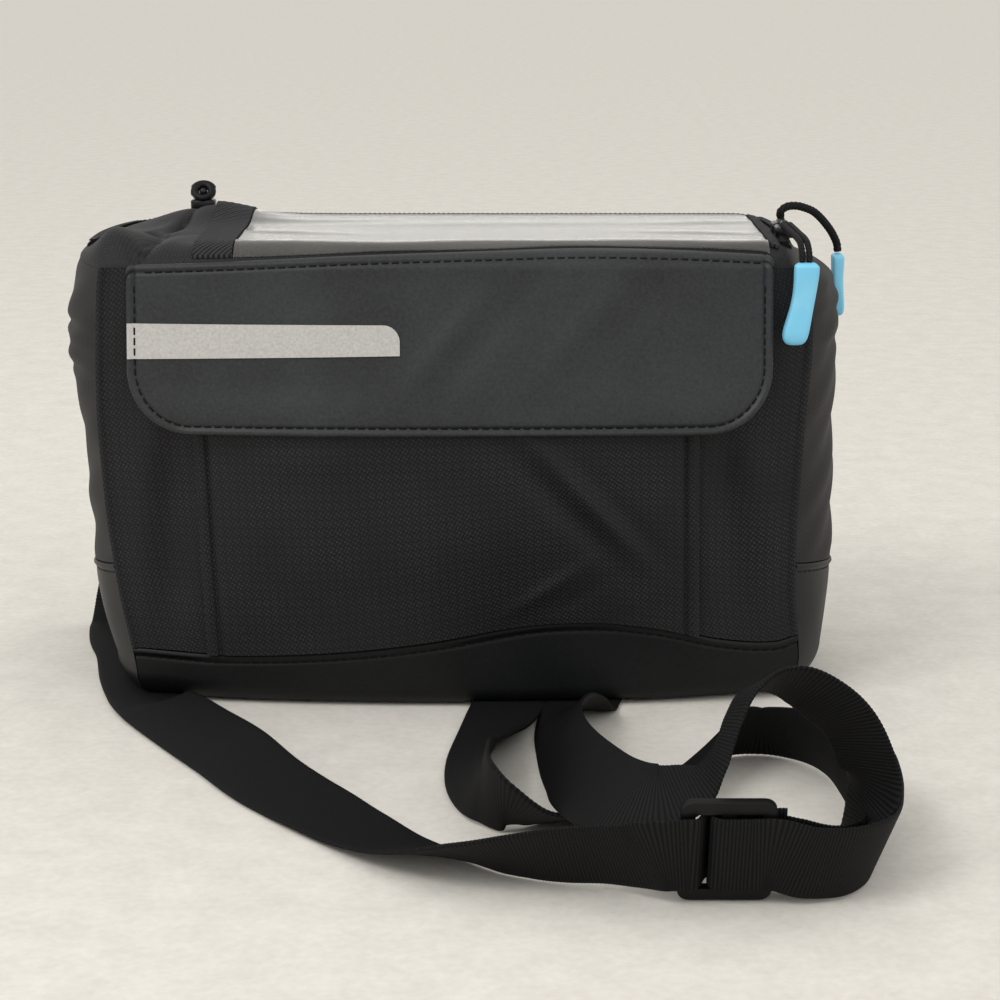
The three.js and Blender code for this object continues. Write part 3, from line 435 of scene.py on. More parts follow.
# %% All materials
COATED = coated_cloth("TPU-coated polyester", "#131517", "#2b2e31", 0.4)
# A darker copy of the coated cloth for the lower bands: the extra darkness is painted shade, as the
# bands face down and get less light.
SHADE_DARKENED_BAND_CLOTH = coated_cloth("TPU-coated polyester darkened for painted shade", "#090a0b", "#131516", 0.2)
WALL = wall_cloth("dobby polyester", "#0b0b0e", "#3e3d44", 0.22)
SIDE_CLOTH = wall_cloth("plain polyester", "#100f11", "#2a282b", 0.1)
LID_CLOTH = wall_cloth("PU-backed polyester", "#0f1013", "#36363c", 0.18)
TAPE = reflective_tape()
FILM = clear_film()
BINDING = woven_tape("herringbone polyester tape", "#111113", "#3a3a3d", 1.4, 38, 0.2)
ZIP_TAPE = woven_tape("nylon zip tape", "#0c0c0e", "#1e1e20", 0.8, 40, 0.1)
WEBBING = woven_tape("polypropylene webbing", "#050506", "#1e1e1f", RIB, 90, 0.2)
ZINC = moulded("black-painted zinc", "#1c1c1e", "#303033", 0.28, 1.5, Metallic=0.6)
CORD = woven_tape("braided polyester cord", "#0a0a0b", "#242427", 1.1, 45, 0.15)
RUBBER = moulded("thermoplastic rubber", "#6cc4ea", "#8dd4f2", 0.5, 0.7)
ACETAL = moulded("moulded acetal", "#08080a", "#101012", 0.42, 0.7, Specular_IOR_Level=0.2)
THREAD = moulded("bonded polyester thread", "#050506", "#0e0e10", 0.6, 0.6, Specular_IOR_Level=0.2)
floor.data.materials.append(felt_floor())
print("materials:", len(bpy.data.materials))

# %% [markdown]
# ## The shoulder strap
# The strap is 25 mm webbing. One end is sewn to the bag's back at the left. It hangs down, runs
# under the left edge to the front, through the slider, stands up in an arch, goes back in a loop
# under the bag to the ring at the back, and returns in a second loop to the slider, where its cut
# end shows. A curve with a flat profile could draw it, but it would twist where it likes. So each
# row of the table gives the webbing's middle and the direction of its width. A smooth curve joins
# the rows, and each rib of the weave is two rings.

# %% Strap route
BUCKLE = Sizes(x=75, y=-217, z=16.8, lean=math.radians(18), half=13, half_wide=17, thick=2.5)
SLOT_FROM, SLOT_TO, SLOT_HALF = 2, 9, 13
RING_BACK = Sizes(x=96, y=52.6, low=104, high=122, wide=32, bar=3)
WRAP, THREAD_OUT = 3.1, 2.3
buckle_wide = np.array([0, -math.sin(BUCKLE.lean), math.cos(BUCKLE.lean)])
buckle_face = np.array([0, -math.cos(BUCKLE.lean), -math.sin(BUCKLE.lean)])


def width_direction(turn, rise):
    turn, rise = np.radians(turn), np.radians(rise)
    flat = np.cos(rise)
    return np.stack([flat * np.cos(turn), flat * np.sin(turn), np.sin(rise)], -1)


def strap_rows(*rows):
    rows = np.array(rows, float)
    return np.hstack([rows[:, :3], width_direction(rows[:, 3], rows[:, 4])])


def threaded(wide, *steps):
    """Strap rows at places along the slider and out of its face."""
    middle = np.array([BUCKLE.x, BUCKLE.y, BUCKLE.z])
    return np.array([[*(middle + (s, 0, 0) + buckle_face * n), *wide] for s, n in steps])


def ring_wrap(bar, first, last, count):
    """Line of y and z round a bar of the ring."""
    turn = np.radians(np.linspace(first, last, count))
    return np.stack([RING_BACK.y + WRAP * np.cos(turn), bar + WRAP * np.sin(turn)], -1)


def back_rows(x, line):
    """Strap rows along a line of y and z, with the width along the bag's back."""
    return np.array([(x, y, z, -1, 0, 0) for y, z in line], float)


# %% Strap rows
# Columns of the strap rows: x, y, z, turn of the width about the upright, its rise above the floor
strap_left = strap_rows(
    (-108, 50, 95, 180, 0), (-112.5, 51, 75, 180, 0), (-119, 53, 50, 180, 0),
    (-126, 55, 25, 180, 0),
    (-130, 52, 7, 180, 0), (-130.5, 46, 1.6, 180, 0), (-130, 38, 1, 183, 0), (-127, 22, 1, 190, 0),
    (-121.8, 5, 1, 193, 0), (-116, -22, 1, 193, 0), (-109.5, -44, 1.1, 199, 0),
    (-106, -53, 2.0, 202, -3),
    (-101.5, -62.5, 4.2, 205, -15), (-86, -88, 5.1, 210, -20), (-72, -110, 5.5, 211, -22),
    (-60, -129, 4.3, 214, -16), (-50, -142, 3.5, 218, -12), (-40, -154, 3.1, 224, -8),
    (-30, -165, 2.1, 230, -3), (-18, -179, 2.6, 236, 8), (-6, -191.5, 5.1, 238, 20),
    (6, -201, 8, 242, 36), (18, -205.5, 9.9, 245, 48), (29, -208, 11.2, 248, 57),
    (40, -210.5, 12.5, 250, 60), (50, -215, 13.8, 256, 63), (57, -218.6, 15.4, 264, 70),
)
strap_in = threaded(
    buckle_wide, (-11, 2.4), (-8.4, 2.2), (-6.9, 0), (-5.6, -2.4), (-3.6, -4.2), (0, -4.6)
)
strap_arch = strap_rows(
    (84, -210.9, 16.6, 270, 64), (93, -210.4, 14.6, 275, 61), (102, -208.8, 12.2, 282, 58),
    (107.5, -204, 11.6, 288, 51), (111, -198, 12.8, 285, 40), (115, -195, 20, 291, 27),
    (117, -195.5, 28, 302, 23), (115, -195.5, 36, 300, 28),
    (110.5, -195.5, 45, 295, 36), (103.5, -195.5, 52, 287, 44), (96, -195, 56.5, 273, 43),
    (88, -195, 57.5, 267, 29), (82, -197, 55, 271, 16), (78, -200, 48.5, 272, 12),
    (74, -203.5, 38.5, 270, 5), (70, -205, 32.5, 268, -6), (64, -205.8, 29.4, 268, -18),
    (56.5, -206.3, 27.6, 262, -27), (49, -202.3, 26, 248, -32), (43.3, -194, 24.6, 234, -36),
    (39.5, -182.5, 23, 221, -42),
    (35.5, -165, 20.5, 206, -53), (33.5, -146, 17.5, 194, -61), (32.5, -124, 14, 183, -60),
    (33, -104, 11.4, 180, -53), (34.5, -86, 9, 180, -40), (37.5, -70, 5.4, 177, -21),
    (39.5, -61, 2.7, 173, -7), (41, -54, 1.1, 170, 0), (43, -44, 1, 166, 0), (54, 0, 1, 166, 0),
    (66, 46, 1, 166, 0), (67.3, 51.5, 1.7, 167, 1), (68.6, 55.6, 5.5, 169, 4),
    (70.8, 57, 14, 176, 11),
    (75, 55, 25, 180, 15), (82, 52.5, 50, 180, 15), (90, 50.6, 75, 180, 12), (95, 49.6, 95, 180, 2),
)
low_bar = RING_BACK.low + RING_BACK.bar / 2
high_bar = RING_BACK.high - RING_BACK.bar / 2
strap_wrap = back_rows(RING_BACK.x, ring_wrap(low_bar, 180, 0, 7))
strap_outside = strap_rows(
    (95, 56.6, 98, 180, 6), (88, 59, 84, 180, 20), (76, 62, 66, 180, 22), (62, 65.5, 45, 180, 22),
    (51, 68.5, 22, 178, 16), (46.5, 67.5, 7, 172, 6), (43.5, 60, 1.7, 167, 0), (40, 46, 1, 166, 0),
    (28.5, 0, 1, 166, 0), (17, -48, 1, 166, 0), (15.5, -56, 1.2, 170, -1), (12, -80, 3.1, 171, -10),
    (8, -104, 5.9, 175, -24), (6.3, -121, 8.1, 183, -36), (6, -135, 10.2, 191, -48),
    (6.8, -146, 11.7, 202, -60), (8.2, -156.5, 13.6, 222, -78), (10.8, -164.8, 12.8, 90, -72),
    (16, -170, 10.8, 106, -46), (25, -170, 6.8, 97, -30), (36, -163, 4.7, 100, -18),
    (52, -154, 4.4, 130, -16), (66, -139, 7.4, 145, -32), (77, -121, 9.9, 138, -48),
    (88, -108, 11.2, 112, -56), (97, -105.5, 10.7, 82, -54), (105, -109.5, 11.2, 48, -58),
    (111.5, -117.5, 11.9, 35, -66), (118, -130, 12.9, 20, -88), (122.5, -143, 12.5, 176, -75),
    (124.5, -155, 12, 174, -66), (124.6, -169, 11.9, 167, -66), (123.2, -187.5, 12.1, 155, -69),
    (119, -204.2, 12, 138, -68), (110, -214.5, 12.4, 119, -70), (98, -218.8, 13.6, 100, -71),
)
bar_turn = [
    (-SLOT_FROM - THREAD_OUT * math.sin(a), THREAD_OUT * math.cos(a))
    for a in np.radians(np.linspace(60, 180, 5))
]
strap_out = threaded(
    -buckle_wide, (13, THREAD_OUT), (6, THREAD_OUT), (-2, THREAD_OUT), *bar_turn,
    (6, -THREAD_OUT), (11, -THREAD_OUT), (16, -THREAD_OUT),
)
ROUTE = np.vstack([strap_left, strap_in, strap_arch, strap_wrap, strap_outside, strap_out])
print("strap rows:", len(ROUTE))


# %% Even steps along a route
SLOW_TURN, FINE_STEPS = 3, 24


def smooth_route(rows, step):
    """Even steps along a smooth curve through the rows; the width turns slowly."""
    at = along(rows[:, :3])
    share = np.linspace(0, 1, FINE_STEPS, endpoint=False)
    fine_at = np.append(mix(at[:-1, None], at[1:, None], share), at[-1])
    fine = np.stack([through(at, column, fine_at) for column in rows.T], -1)
    at = along(fine[:, :3])
    even = spaced(0, at[-1], step)
    route = np.stack([np.interp(even, at, column) for column in fine.T], -1)
    reach = int(SLOW_TURN / step)
    weight = bell(np.arange(-2 * reach, 2 * reach + 1), max(reach, 1))
    for k in (3, 4, 5):
        padded = np.pad(route[:, k], 2 * reach, mode="edge")
        route[:, k] = np.convolve(padded, weight / weight.sum(), mode="valid")
    return route, even


def ring_piece(name, rings, flat):
    """Rings of points joined in order, with a flat face at each end."""
    count, size = rings.shape[:2]
    index = np.arange(count * size).reshape(count, size)
    follow = np.roll(index, -1, axis=1)
    quads = np.stack([index[:-1], follow[:-1], follow[1:], index[1:]], -1).reshape(-1, 4)
    points = rings.reshape(-1, 3)
    faces = [*quads.tolist(), index[0, ::-1].tolist(), index[-1].tolist()]
    if volume_of(points, quads) < 0:
        faces = [face[::-1] for face in faces]
    return new_piece(name, points, faces, flat.reshape(-1, 2))


# %% Webbing
# Points of half the webbing's section: share of the half width and of the half thickness
SECTION = np.array([
    (-1, -0.35), (-0.95, -0.9), (-0.86, -1), (-0.45, -1), (0, -1),
    (0.45, -1), (0.86, -1), (0.95, -0.9), (1, -0.35),
])
SECTION = np.vstack([SECTION, -SECTION])
RIB_WIDE_SHARE = 0.8


def webbing_band(node, rows):
    route, even = smooth_route(rows, RIB / 2)
    middle = route[:, :3]
    ahead = unit(np.gradient(middle, axis=0))
    wide = route[:, 3:] - ahead * np.einsum("ij,ij->i", route[:, 3:], ahead)[:, None]
    wide = unit(wide)
    thick = np.cross(ahead, wide)
    rib = np.where(np.arange(len(even)) % 2 == 0, 1.0, -1.0)[:, None]
    half_wide = STRAP_WIDE / 2 + rib * RIB_DEEP * RIB_WIDE_SHARE
    half_thick = STRAP_THICK / 2 + rib * RIB_DEEP / 2
    rings = middle[:, None] + wide[:, None] * (SECTION[:, 0] * half_wide)[..., None]
    rings = rings + thick[:, None] * (SECTION[:, 1] * half_thick)[..., None]
    flat = np.stack(np.broadcast_arrays(SECTION[:, 0] * STRAP_WIDE / 2, even[:, None]), -1)
    piece = ring_piece(node + "_webbing", rings, flat)
    return with_material(piece, WEBBING, "webbing", node), middle, even[-1]


strap, strap_middle, strap_long = webbing_band("shoulder_strap", ROUTE)
print("strap length mm:", round(strap_long))

# %% [markdown]
# ## Wall lines
# The plan of the walls changes with height: the four corner seams move a little, the sides swell
# and the front bows. All wall pieces, the pocket, the flap and the lid read these same lines, so
# they lie on each other as sewn panels do.

# %% Wall tables
CLOTH, GAP = 2, 0.4
SEAM_FRONT, BACK, WALL_TOP = -44, 48, 150
FRONT_POWER, SIDE_POWER = 2.2, 2.4
SIDE_BAND_TOP, SIDE_BAND_RISE, EDGE_START, BACK_ROUND = 41, 15, 15, 8
CHANNEL_TOP = 2.2
WALLS = table(
    "z seam_left side_left seam_right side_right bow",
    (0, -110, -121, 117, 127, 8),
    (22, -113.4, -128, 116, 130, 8),
    (38, -116.4, -130.6, 114.5, 131.5, 8),
    (62, -119.3, -131, 114.3, 131.5, 8),
    (80, -120.6, -132, 115, 131, 7.5),
    (100, -121.5, -133.4, 116, 130.6, 7),
    (115, -121.4, -137.5, 117, 131, 6),
    (125, -121, -137, 117.5, 132, 5.5),
    (135, -120.5, -136, 117, 131, 5),
    (143, -120, -134, 114.5, 129, 4.5),
    (147, -119.5, -132.8, 112.6, 124.5, 4.2),
    (150, -119, -131.5, 111, 116, 4),
)
SIDE_FOLDS = {
    "left": ((128, 1.6, 2.2), (121, 0.8, 2.2), (113.5, 1.4, 2.4)),
    "right": ((140, 1.2, 2.2), (133, 1.2, 2.2), (122, 1.2, 2.4)),
}
FRONT_BAND = table(
    "x top round",
    (-113, 19, 11),
    (-85, 17.8, 8),
    (-45, 19.6, 7.2),
    (-12, 23.4, 7),
    (22, 29.4, 7),
    (46, 30.3, 7.6),
    (66, 28, 9),
    (88, 23, 11.5),
    (106, 21.6, 14),
    (115, 24, 16),
)
SIDES = ("front", "right", "back", "left")
PROBE = 0.002
SEAM_MARGIN = {"front": 0.001, "right": 0.0025, "back": 0.001, "left": 0.0025}


# %% Wall functions
def fold_depth(side, z):
    return sum(depth * bell(z - at, reach) for at, depth, reach in SIDE_FOLDS[side])


def wall_line(side, part, z):
    part, z = np.broadcast_arrays(np.asarray(part, float), np.asarray(z, float))
    left, right = (read(WALLS, "z", name, z) for name in ("seam_left", "seam_right"))
    away = np.abs(2 * part - 1)
    if side == "front":
        bow = read(WALLS, "z", "bow", z) * (1 - away**FRONT_POWER)
        return mix(left, right, part), SEAM_FRONT - bow
    if side == "back":
        return mix(right, left, part), np.full(part.shape, float(BACK))
    swell = 1 - away**SIDE_POWER
    crease = fold_depth(side, z) * swell
    if side == "right":
        out = (read(WALLS, "z", "side_right", z) - right) * swell - crease
        return right + out, mix(SEAM_FRONT, BACK, part)
    out = (left - read(WALLS, "z", "side_left", z)) * swell - crease
    return left - out, mix(BACK, SEAM_FRONT, part)


def inward(side, part, z):
    ax, ay = wall_line(side, np.clip(part - PROBE, 0, 1), z)
    bx, by = wall_line(side, np.clip(part + PROBE, 0, 1), z)
    size = np.hypot(ay - by, bx - ax)
    return (ay - by) / size, (bx - ax) / size


def wall_point(side, part, z, inset):
    part = np.asarray(part, float)
    x, y = wall_line(side, part, z)
    nx, ny = inward(side, part, z)
    i, near = SIDES.index(side), 2 * SEAM_MARGIN[side]
    neighbours = ((SIDES[i - 1], 1, part < near), (SIDES[(i + 1) % 4], 0, part > 1 - near))
    for other, end, chosen in neighbours:
        ox, oy = inward(other, np.full(np.shape(x), float(end)), z)
        scale = 1 + nx * ox + ny * oy
        nx, ny = np.where(chosen, (nx + ox) / scale, nx), np.where(chosen, (ny + oy) / scale, ny)
    return x + nx * inset, y + ny * inset


def front_y(x, z):
    left, right = (read(WALLS, "z", name, z) for name in ("seam_left", "seam_right"))
    return wall_line("front", np.clip((x - left) / (right - left), 0, 1), z)[1]


def band_top(x):
    return read(FRONT_BAND, "x", "top", x)


def edge_round(side, part):
    first, last = FRONT_BAND["round"][0], FRONT_BAND["round"][-1]
    if side == "back":
        return np.full(np.shape(part), float(BACK_ROUND))
    if side == "right":
        return mix(last, BACK_ROUND, part)
    if side == "left":
        return mix(BACK_ROUND, first, part)
    return read(FRONT_BAND, "x", "round", mix(FRONT_BAND["x"][0], FRONT_BAND["x"][-1], part))


# %% [markdown]
# ## Lower bands
# A band of coated cloth wraps the bottom edge. Its upper edge is rolled over and sewn, so it stands
# proud as a small bead with a row of stitches in the groove below. Where the strap passes under the
# bag the band is pushed up a little. A bevelled block would have neither bead nor groove, so each
# band is a sheet with many rows near them. The back has no band: its wall is one such sheet from
# the base to the lid.

# %% Bands
LIP_HIGH, LIP_AT, LIP_REACH = 0.75, 1.0, 0.95
GROOVE_DEEP, GROOVE_AT, GROOVE_REACH = 0.4, 2.9, 0.55
CHANNEL_SIDE, BEND_ROWS = 3, 14
SIDE_TOP_FRONT, SIDE_TOP_BOW = 0.55, 0.8
# Plan corners of the strap's two ways under the bag
CHANNELS = (
    ((-2, -62), (58, -62), (88, 62), (20, 62)),
    ((-142, -72), (-88, -72), (-100, 64), (-142, 64)),
)


def lip(distance):
    roll = LIP_HIGH * bell(distance - LIP_AT, LIP_REACH)
    return roll - GROOVE_DEEP * bell(distance - GROOVE_AT, GROOVE_REACH)


def in_channel(x, y):
    """Share from 0 to 1 of a plan point inside the strap's way under the bag."""
    inside = np.zeros(np.shape(x))
    for a, b, c, d in CHANNELS:
        t = np.clip((y - a[1]) / (d[1] - a[1]), 0, 1)
        low, high = mix(a[0], d[0], t), mix(b[0], c[0], t)
        edge = np.minimum(x - low, high - x)
        inside = np.maximum(inside, np.clip(edge / CHANNEL_SIDE, 0, 1))
    return inside


# %% Band pieces
def band_piece(node, side, columns, rows, top_at, slot, material, lipped=True):
    def face(part, v, depth):
        round_, top = edge_round(side, part), top_at(*wall_line(side, part, SIDE_BAND_TOP))
        turn = np.radians(mix(EDGE_START, 90, np.clip(v * 2, 0, 1)))
        z_wall = mix(round_, top, np.clip(v * 2 - 1, 0, 1))
        low = v <= 0.5
        proud = lip(top - z_wall) * ~low if lipped and depth == 0 else 0
        radius = round_ - depth
        z = np.where(low, round_ - radius * np.cos(turn), z_wall)
        x_low, y_low = wall_point(side, part, round_, round_ - radius * np.sin(turn))
        x_high, y_high = wall_point(side, part, z_wall, depth - proud)
        x, y = np.where(low, x_low, x_high), np.where(low, y_low, y_high)
        lift = in_channel(x, y) * np.clip(CHANNEL_TOP + depth - z, 0, None)
        return x, y, z + lift

    parts = np.linspace(SEAM_MARGIN[side], 1 - SEAM_MARGIN[side], columns)
    vs = np.concatenate([np.linspace(0, 0.5, BEND_ROWS), np.linspace(0.5, 1, rows)[1:]])
    sheet_piece(node + "_cloth", parts, vs, face, (0, CLOTH), material, slot, node)


def front_top(x, y):
    return band_top(x)


def side_top(x, y):
    back = np.clip((y - SEAM_FRONT) / (BACK - SEAM_FRONT), 0, 1)
    return SIDE_BAND_TOP + SIDE_BAND_RISE * (SIDE_TOP_FRONT - back**SIDE_TOP_BOW)


def wall_top(x, y):
    return np.full(np.shape(x), float(WALL_TOP))


# The bands take the darker copy of the coated cloth, whose extra darkness is painted shade.
band_piece("front_band", "front", 150, 40, front_top, "coated_cloth", SHADE_DARKENED_BAND_CLOTH)
band_piece("side_band_right", "right", 60, 50, side_top, "coated_cloth", SHADE_DARKENED_BAND_CLOTH)
band_piece("side_band_left", "left", 60, 50, side_top, "coated_cloth", SHADE_DARKENED_BAND_CLOTH)
band_piece("back_panel", "back", 70, 60, wall_top, "wall_cloth", WALL, lipped=False)

# %% [markdown]
# ## Cloth walls
# The walls above the bands are softer. They keep slow dents from being folded away, and the sides
# have creases near the top where the stiff lid pushes down on them. A cloth simulation could fold
# them, but not where the photo has its folds, so the dents are placed one by one in a table and the
# sides get two waves that slide over each other.

# %% Walls
# Columns of all dents: middle x and z, depth, reach in x and z, slant
DENTS = (
    (-97, 74, 2.6, 6, 20, 0),
    (-103, 92, -1.2, 6, 12, 0),
    (-98, 44, 1.6, 7, 18, 0),
    (-108, 60, -1.0, 5, 30, 0),
    (90, 76, 2.2, 5, 16, 0),
    (98, 84, -1.2, 6, 12, 0),
    (93, 50, 1.6, 6, 18, 0),
    (105, 56, -0.8, 5, 26, 0),
)
PIPING_HIGH, PIPING_AT, PIPING_REACH, FRONT_WIDE = 0.9, 0.9, 1.1, 232
WALL_OVER, WALL_EDGE, EDGE_COLUMNS = 0.3, 0.03, 14
# Columns of the waves in a side wall: height, turn per mm, turn along the side, share of the phase
WAVES = ((0.45, 0.21, 5, 0), (0.3, 0.37, -9, 1))
WAVE_PHASE, WAVE_SLANT, WAVE_TURN = {"left": 0.6, "right": 2.1}, 10, 4
FADE_LOW, FADE_TOP, FADE_SIDES = 8, 6, 6


def side_ripple(side, part, z):
    phase = WAVE_PHASE[side]
    slant = z + WAVE_SLANT * np.sin(part * WAVE_TURN + phase)
    slow = sum(
        high * np.sin(slant * turn + part * ahead + phase * share)
        for high, turn, ahead, share in WAVES
    )
    slow = slow * np.clip((z - SIDE_BAND_TOP) / FADE_LOW, 0, 1)
    slow = slow * np.clip((WALL_TOP - z) / FADE_TOP, 0, 1)
    return slow * (1 - np.abs(2 * part - 1) ** FADE_SIDES)


def front_shape(part, z, depth):
    seam = np.minimum(part, 1 - part) * FRONT_WIDE
    piping = PIPING_HIGH * bell(seam - PIPING_AT, PIPING_REACH) * (depth == 0)
    return dents(DENTS, wall_line("front", part, z)[0], z) - piping


def wall_piece(node, side, columns, rows, low_at, material):
    def face(part, v, depth):
        z = mix(low_at(*wall_line(side, part, SIDE_BAND_TOP)) + GAP, WALL_TOP + WALL_OVER, v)
        front = side == "front"
        shape = front_shape(part, z, depth) if front else side_ripple(side, part, z)
        return (*wall_point(side, part, z, depth + shape), z)

    middle = np.linspace(WALL_EDGE, 1 - WALL_EDGE, columns)
    edge = np.linspace(SEAM_MARGIN[side] / 4, WALL_EDGE, EDGE_COLUMNS)[:-1]
    parts, vs = np.concatenate([edge, middle, 1 - edge[::-1]]), np.linspace(0, 1, rows)
    sheet_piece(node + "_cloth", parts, vs, face, (0, CLOTH), material, "wall_cloth", node)


wall_piece("front_panel", "front", 120, 60, front_top, WALL)
wall_piece("side_panel_right", "right", 60, 110, side_top, SIDE_CLOTH)
wall_piece("side_panel_left", "left", 60, 110, side_top, SIDE_CLOTH)

# %% [markdown]
# ## Front pocket
# The pocket is a slack cloth panel sewn to the front wall at its sides and foot and open at the
# top. It swells in the middle, and each side has a folded edge with a seam beside it. The same
# function shapes its outside and its inside, so the cloth keeps its thickness in every fold.

# %% Pocket
POCKET = Sizes(left_top=-89.5, left_low=-86.5, right_top=80, right_low=81.4, top=104, thick=1.6)
POCKET_EDGE, POCKET_SWELL = 0.5, 5.5
POCKET_DENTS = (
    (-20, 76, 1.6, 22, 22, 0),
    (45, 72, -3.0, 4.6, 21, -0.88),
    (36, 70, 2.2, 5.5, 20, -0.85),
    (56, 66, 1.2, 6, 18, -0.8),
    (28, 42, -2.9, 4.6, 9, 1.33),
    (37, 38, 1.8, 5, 8, 1.33),
    (57, 37, -1.5, 6, 8, 1.6),
    (66, 52, 1.3, 6, 12, 0.2),
    (-60, 60, 0.8, 9, 40, 0.1),
    (-30, 40, 0.7, 30, 6, 0),
    (-52, 88, -0.9, 16, 6, 0.4),
)
SEAM_IN, SEAM_REACH, SEAM_DEEP = 4.6, 0.7, 0.95
HEM_SHARE, HEM_IN, HEM_REACH = 0.8, 1.6, 1.3


def pocket_face(u, v, depth):
    left = mix(POCKET.left_low, POCKET.left_top, v)
    right = mix(POCKET.right_low, POCKET.right_top, v)
    x = mix(left, right, u)
    z = mix(band_top(x) + GAP, POCKET.top, v)
    slack = (1 - np.abs(2 * u - 1) ** 4) * np.sin(np.clip(v * 1.5, 0, 1) * math.pi / 2)
    swell = POCKET_EDGE + slack * (POCKET_SWELL - dents(POCKET_DENTS, x, z))
    edge = np.minimum(x - left, right - x)
    hem = bell(edge - SEAM_IN, SEAM_REACH) - HEM_SHARE * bell(edge - HEM_IN, HEM_REACH)
    seam = np.clip(SEAM_DEEP * hem * (depth > 0), -1, depth)
    return x, front_y(x, z) - (swell + depth - seam), z


pocket = sheet_piece(
    "front_pocket_cloth", fine_ends(0.05, 0.95, 24, 110), np.linspace(0, 1, 70),
    pocket_face, (POCKET.thick, 0), WALL, "wall_cloth", "front_pocket",
)

# %% [markdown]
# ## Flap
# The flap is two layers of coated cloth turned at the edge. The edge is a round bead, the stitches
# lie in a groove inside it, and slow diagonal dents show that it has been folded away. A bevelled
# block would have one plain edge, so each point of a fine grid gets its own height instead.

# %% Flap shape
LID = Sizes(rise=7, left=34, front=12, back=9, right=14)
FLAP = Sizes(left=-110, right=103.8, low=96.8, corner=21.5, thick=1.6)
FLAP_TOP = Sizes(corner=2.5, lean=8)
FLAP_TOP_LINE = table(
    "x z", (-110, 151.8), (-79, 153), (-35, 155), (9, 156.3), (42, 157), (75, 156.3), (104, 154.8)
)
STANDOFF = table(
    "z off", (95, 8.6), (104, 8.2), (115, 6), (130, 3.4), (142, 1.6), (150, 0.8), (158, 0.8)
)
FLAP_DENTS = (
    (-4, 128, -0.9, 5, 16, 0.75),
    (8, 128, 0.8, 6, 18, 0.75),
    (40, 132, -0.8, 6, 18, 0.8),
    (54, 130, 0.8, 7, 18, 0.8),
    (-70, 112, 0.6, 22, 8, 0),
    (78, 118, 0.6, 12, 16, -0.4),
    (-50, 142, 0.5, 10, 7, 0.9),
    (20, 106, 0.5, 30, 5, 0),
)
BEAD_HIGH, BEAD_AT, BEAD_REACH, TOP_BEAD_AT, TOP_BEAD_REACH = 0.4, 1.1, 0.85, 1.2, 1.1
STITCH_IN, TOP_STITCH, STITCH_DEEP, STITCH_REACH, TOP_STITCH_REACH = 2.9, 2.6, 0.6, 0.6, 0.65
ROLL_REACH, DENT_FREE = 0.9, 6


def rounded_off(x, corner):
    inside = np.clip(corner - np.minimum(x - FLAP.left, FLAP.right - x), 0, corner)
    return corner - np.sqrt(np.clip(corner**2 - inside**2, 0, None))


def flap_high(x):
    return read(FLAP_TOP_LINE, "x", "z", x) - rounded_off(x, FLAP_TOP.corner)


def flap_edge(x, z):
    """Distance of a point of the flap from its left, right or lower edge."""
    side = np.minimum(x - FLAP.left, FLAP.right - x)
    low = z - FLAP.low
    corner = FLAP.corner
    away = np.hypot(np.clip(corner - side, 0, None), np.clip(corner - low, 0, None))
    nearest = np.minimum(side, low)
    return np.where(away > 0, np.minimum(corner - away, nearest), nearest)


def flap_back(x, z):
    climb = np.clip((z - WALL_TOP) / FLAP_TOP.lean, 0, 0.99)
    return front_y(x, np.minimum(z, WALL_TOP)) + LID.front * (1 - np.sqrt(1 - climb**2))


def flap_out(x, z):
    """How far the flap's outer face stands proud of its plain surface."""
    edge, top = flap_edge(x, z), flap_high(x) - z
    bead = bell(edge - BEAD_AT, BEAD_REACH) + bell(top - TOP_BEAD_AT, TOP_BEAD_REACH)
    groove = bell(edge - STITCH_IN, STITCH_REACH) + bell(top - TOP_STITCH, TOP_STITCH_REACH)
    dent = dents(FLAP_DENTS, x, z) * np.clip(edge / DENT_FREE, 0, 1)
    return BEAD_HIGH * bead - STITCH_DEEP * groove - dent


def flap_surface(x, z, depth):
    return flap_back(x, z) - read(STANDOFF, "z", "off", z) - depth


# %% Flap
def flap_face(u, v, depth):
    x = mix(FLAP.left, FLAP.right, u)
    z = mix(FLAP.low + rounded_off(x, FLAP.corner), flap_high(x), v)
    edge = np.minimum(flap_edge(x, z), flap_high(x) - z)
    roll = FLAP.thick / 2 * (1 - round_up(edge, ROLL_REACH))
    out = depth + flap_out(x, z) - roll if depth else roll
    return x, flap_surface(x, z, out), z


corner_share = FLAP.corner / (FLAP.right - FLAP.left)
flap = sheet_piece(
    "front_flap_cloth", round_ends(corner_share, 34, 130), fine_ends(0.12, 0.86, 18, 36),
    flap_face, (FLAP.thick, 0), COATED, "coated_cloth", "front_flap",
)

# %% [markdown]
# ## Reflective stripe
# The stripe is a short length of reflective tape with one round corner, sewn on the flap. It could
# be a patch of colour on the flap, but a real tape has a thickness, so it is a thin sheet that
# bridges the flap's stitch groove.

# %% Stripe
STRIPE = Sizes(
    left=-109.6, right=-19.4, low_left=121.5, low_right=123.2, high=133,
    corner=5.5, thick=0.5, gap=0.12, sag=0.25,
)
STRIPE_CORNER = 0.06


def stripe_out(x, z, depth):
    return FLAP.thick + np.maximum(flap_out(x, z), -STRIPE.sag) + STRIPE.gap + depth


def stripe_face(u, v, depth):
    x = mix(STRIPE.left, STRIPE.right, u)
    corner = STRIPE.corner
    inside = np.clip(corner - (STRIPE.right - x), 0, corner)
    high = STRIPE.high - corner + np.sqrt(corner**2 - inside**2)
    z = mix(mix(STRIPE.low_left, STRIPE.low_right, u), high, v)
    return x, flap_surface(x, z, stripe_out(x, z, depth)), z


corner_us = STRIPE_CORNER * np.sin(np.linspace(0, math.pi / 2, 16))[1:]
stripe_us = np.concatenate([np.linspace(0, 1 - STRIPE_CORNER, 70), 1 - STRIPE_CORNER + corner_us])
sheet_piece(
    "reflective_stripe_tape", stripe_us, np.linspace(0, 1, 14),
    stripe_face, (STRIPE.thick, 0), TAPE, "stripe_tape", "reflective_stripe",
)

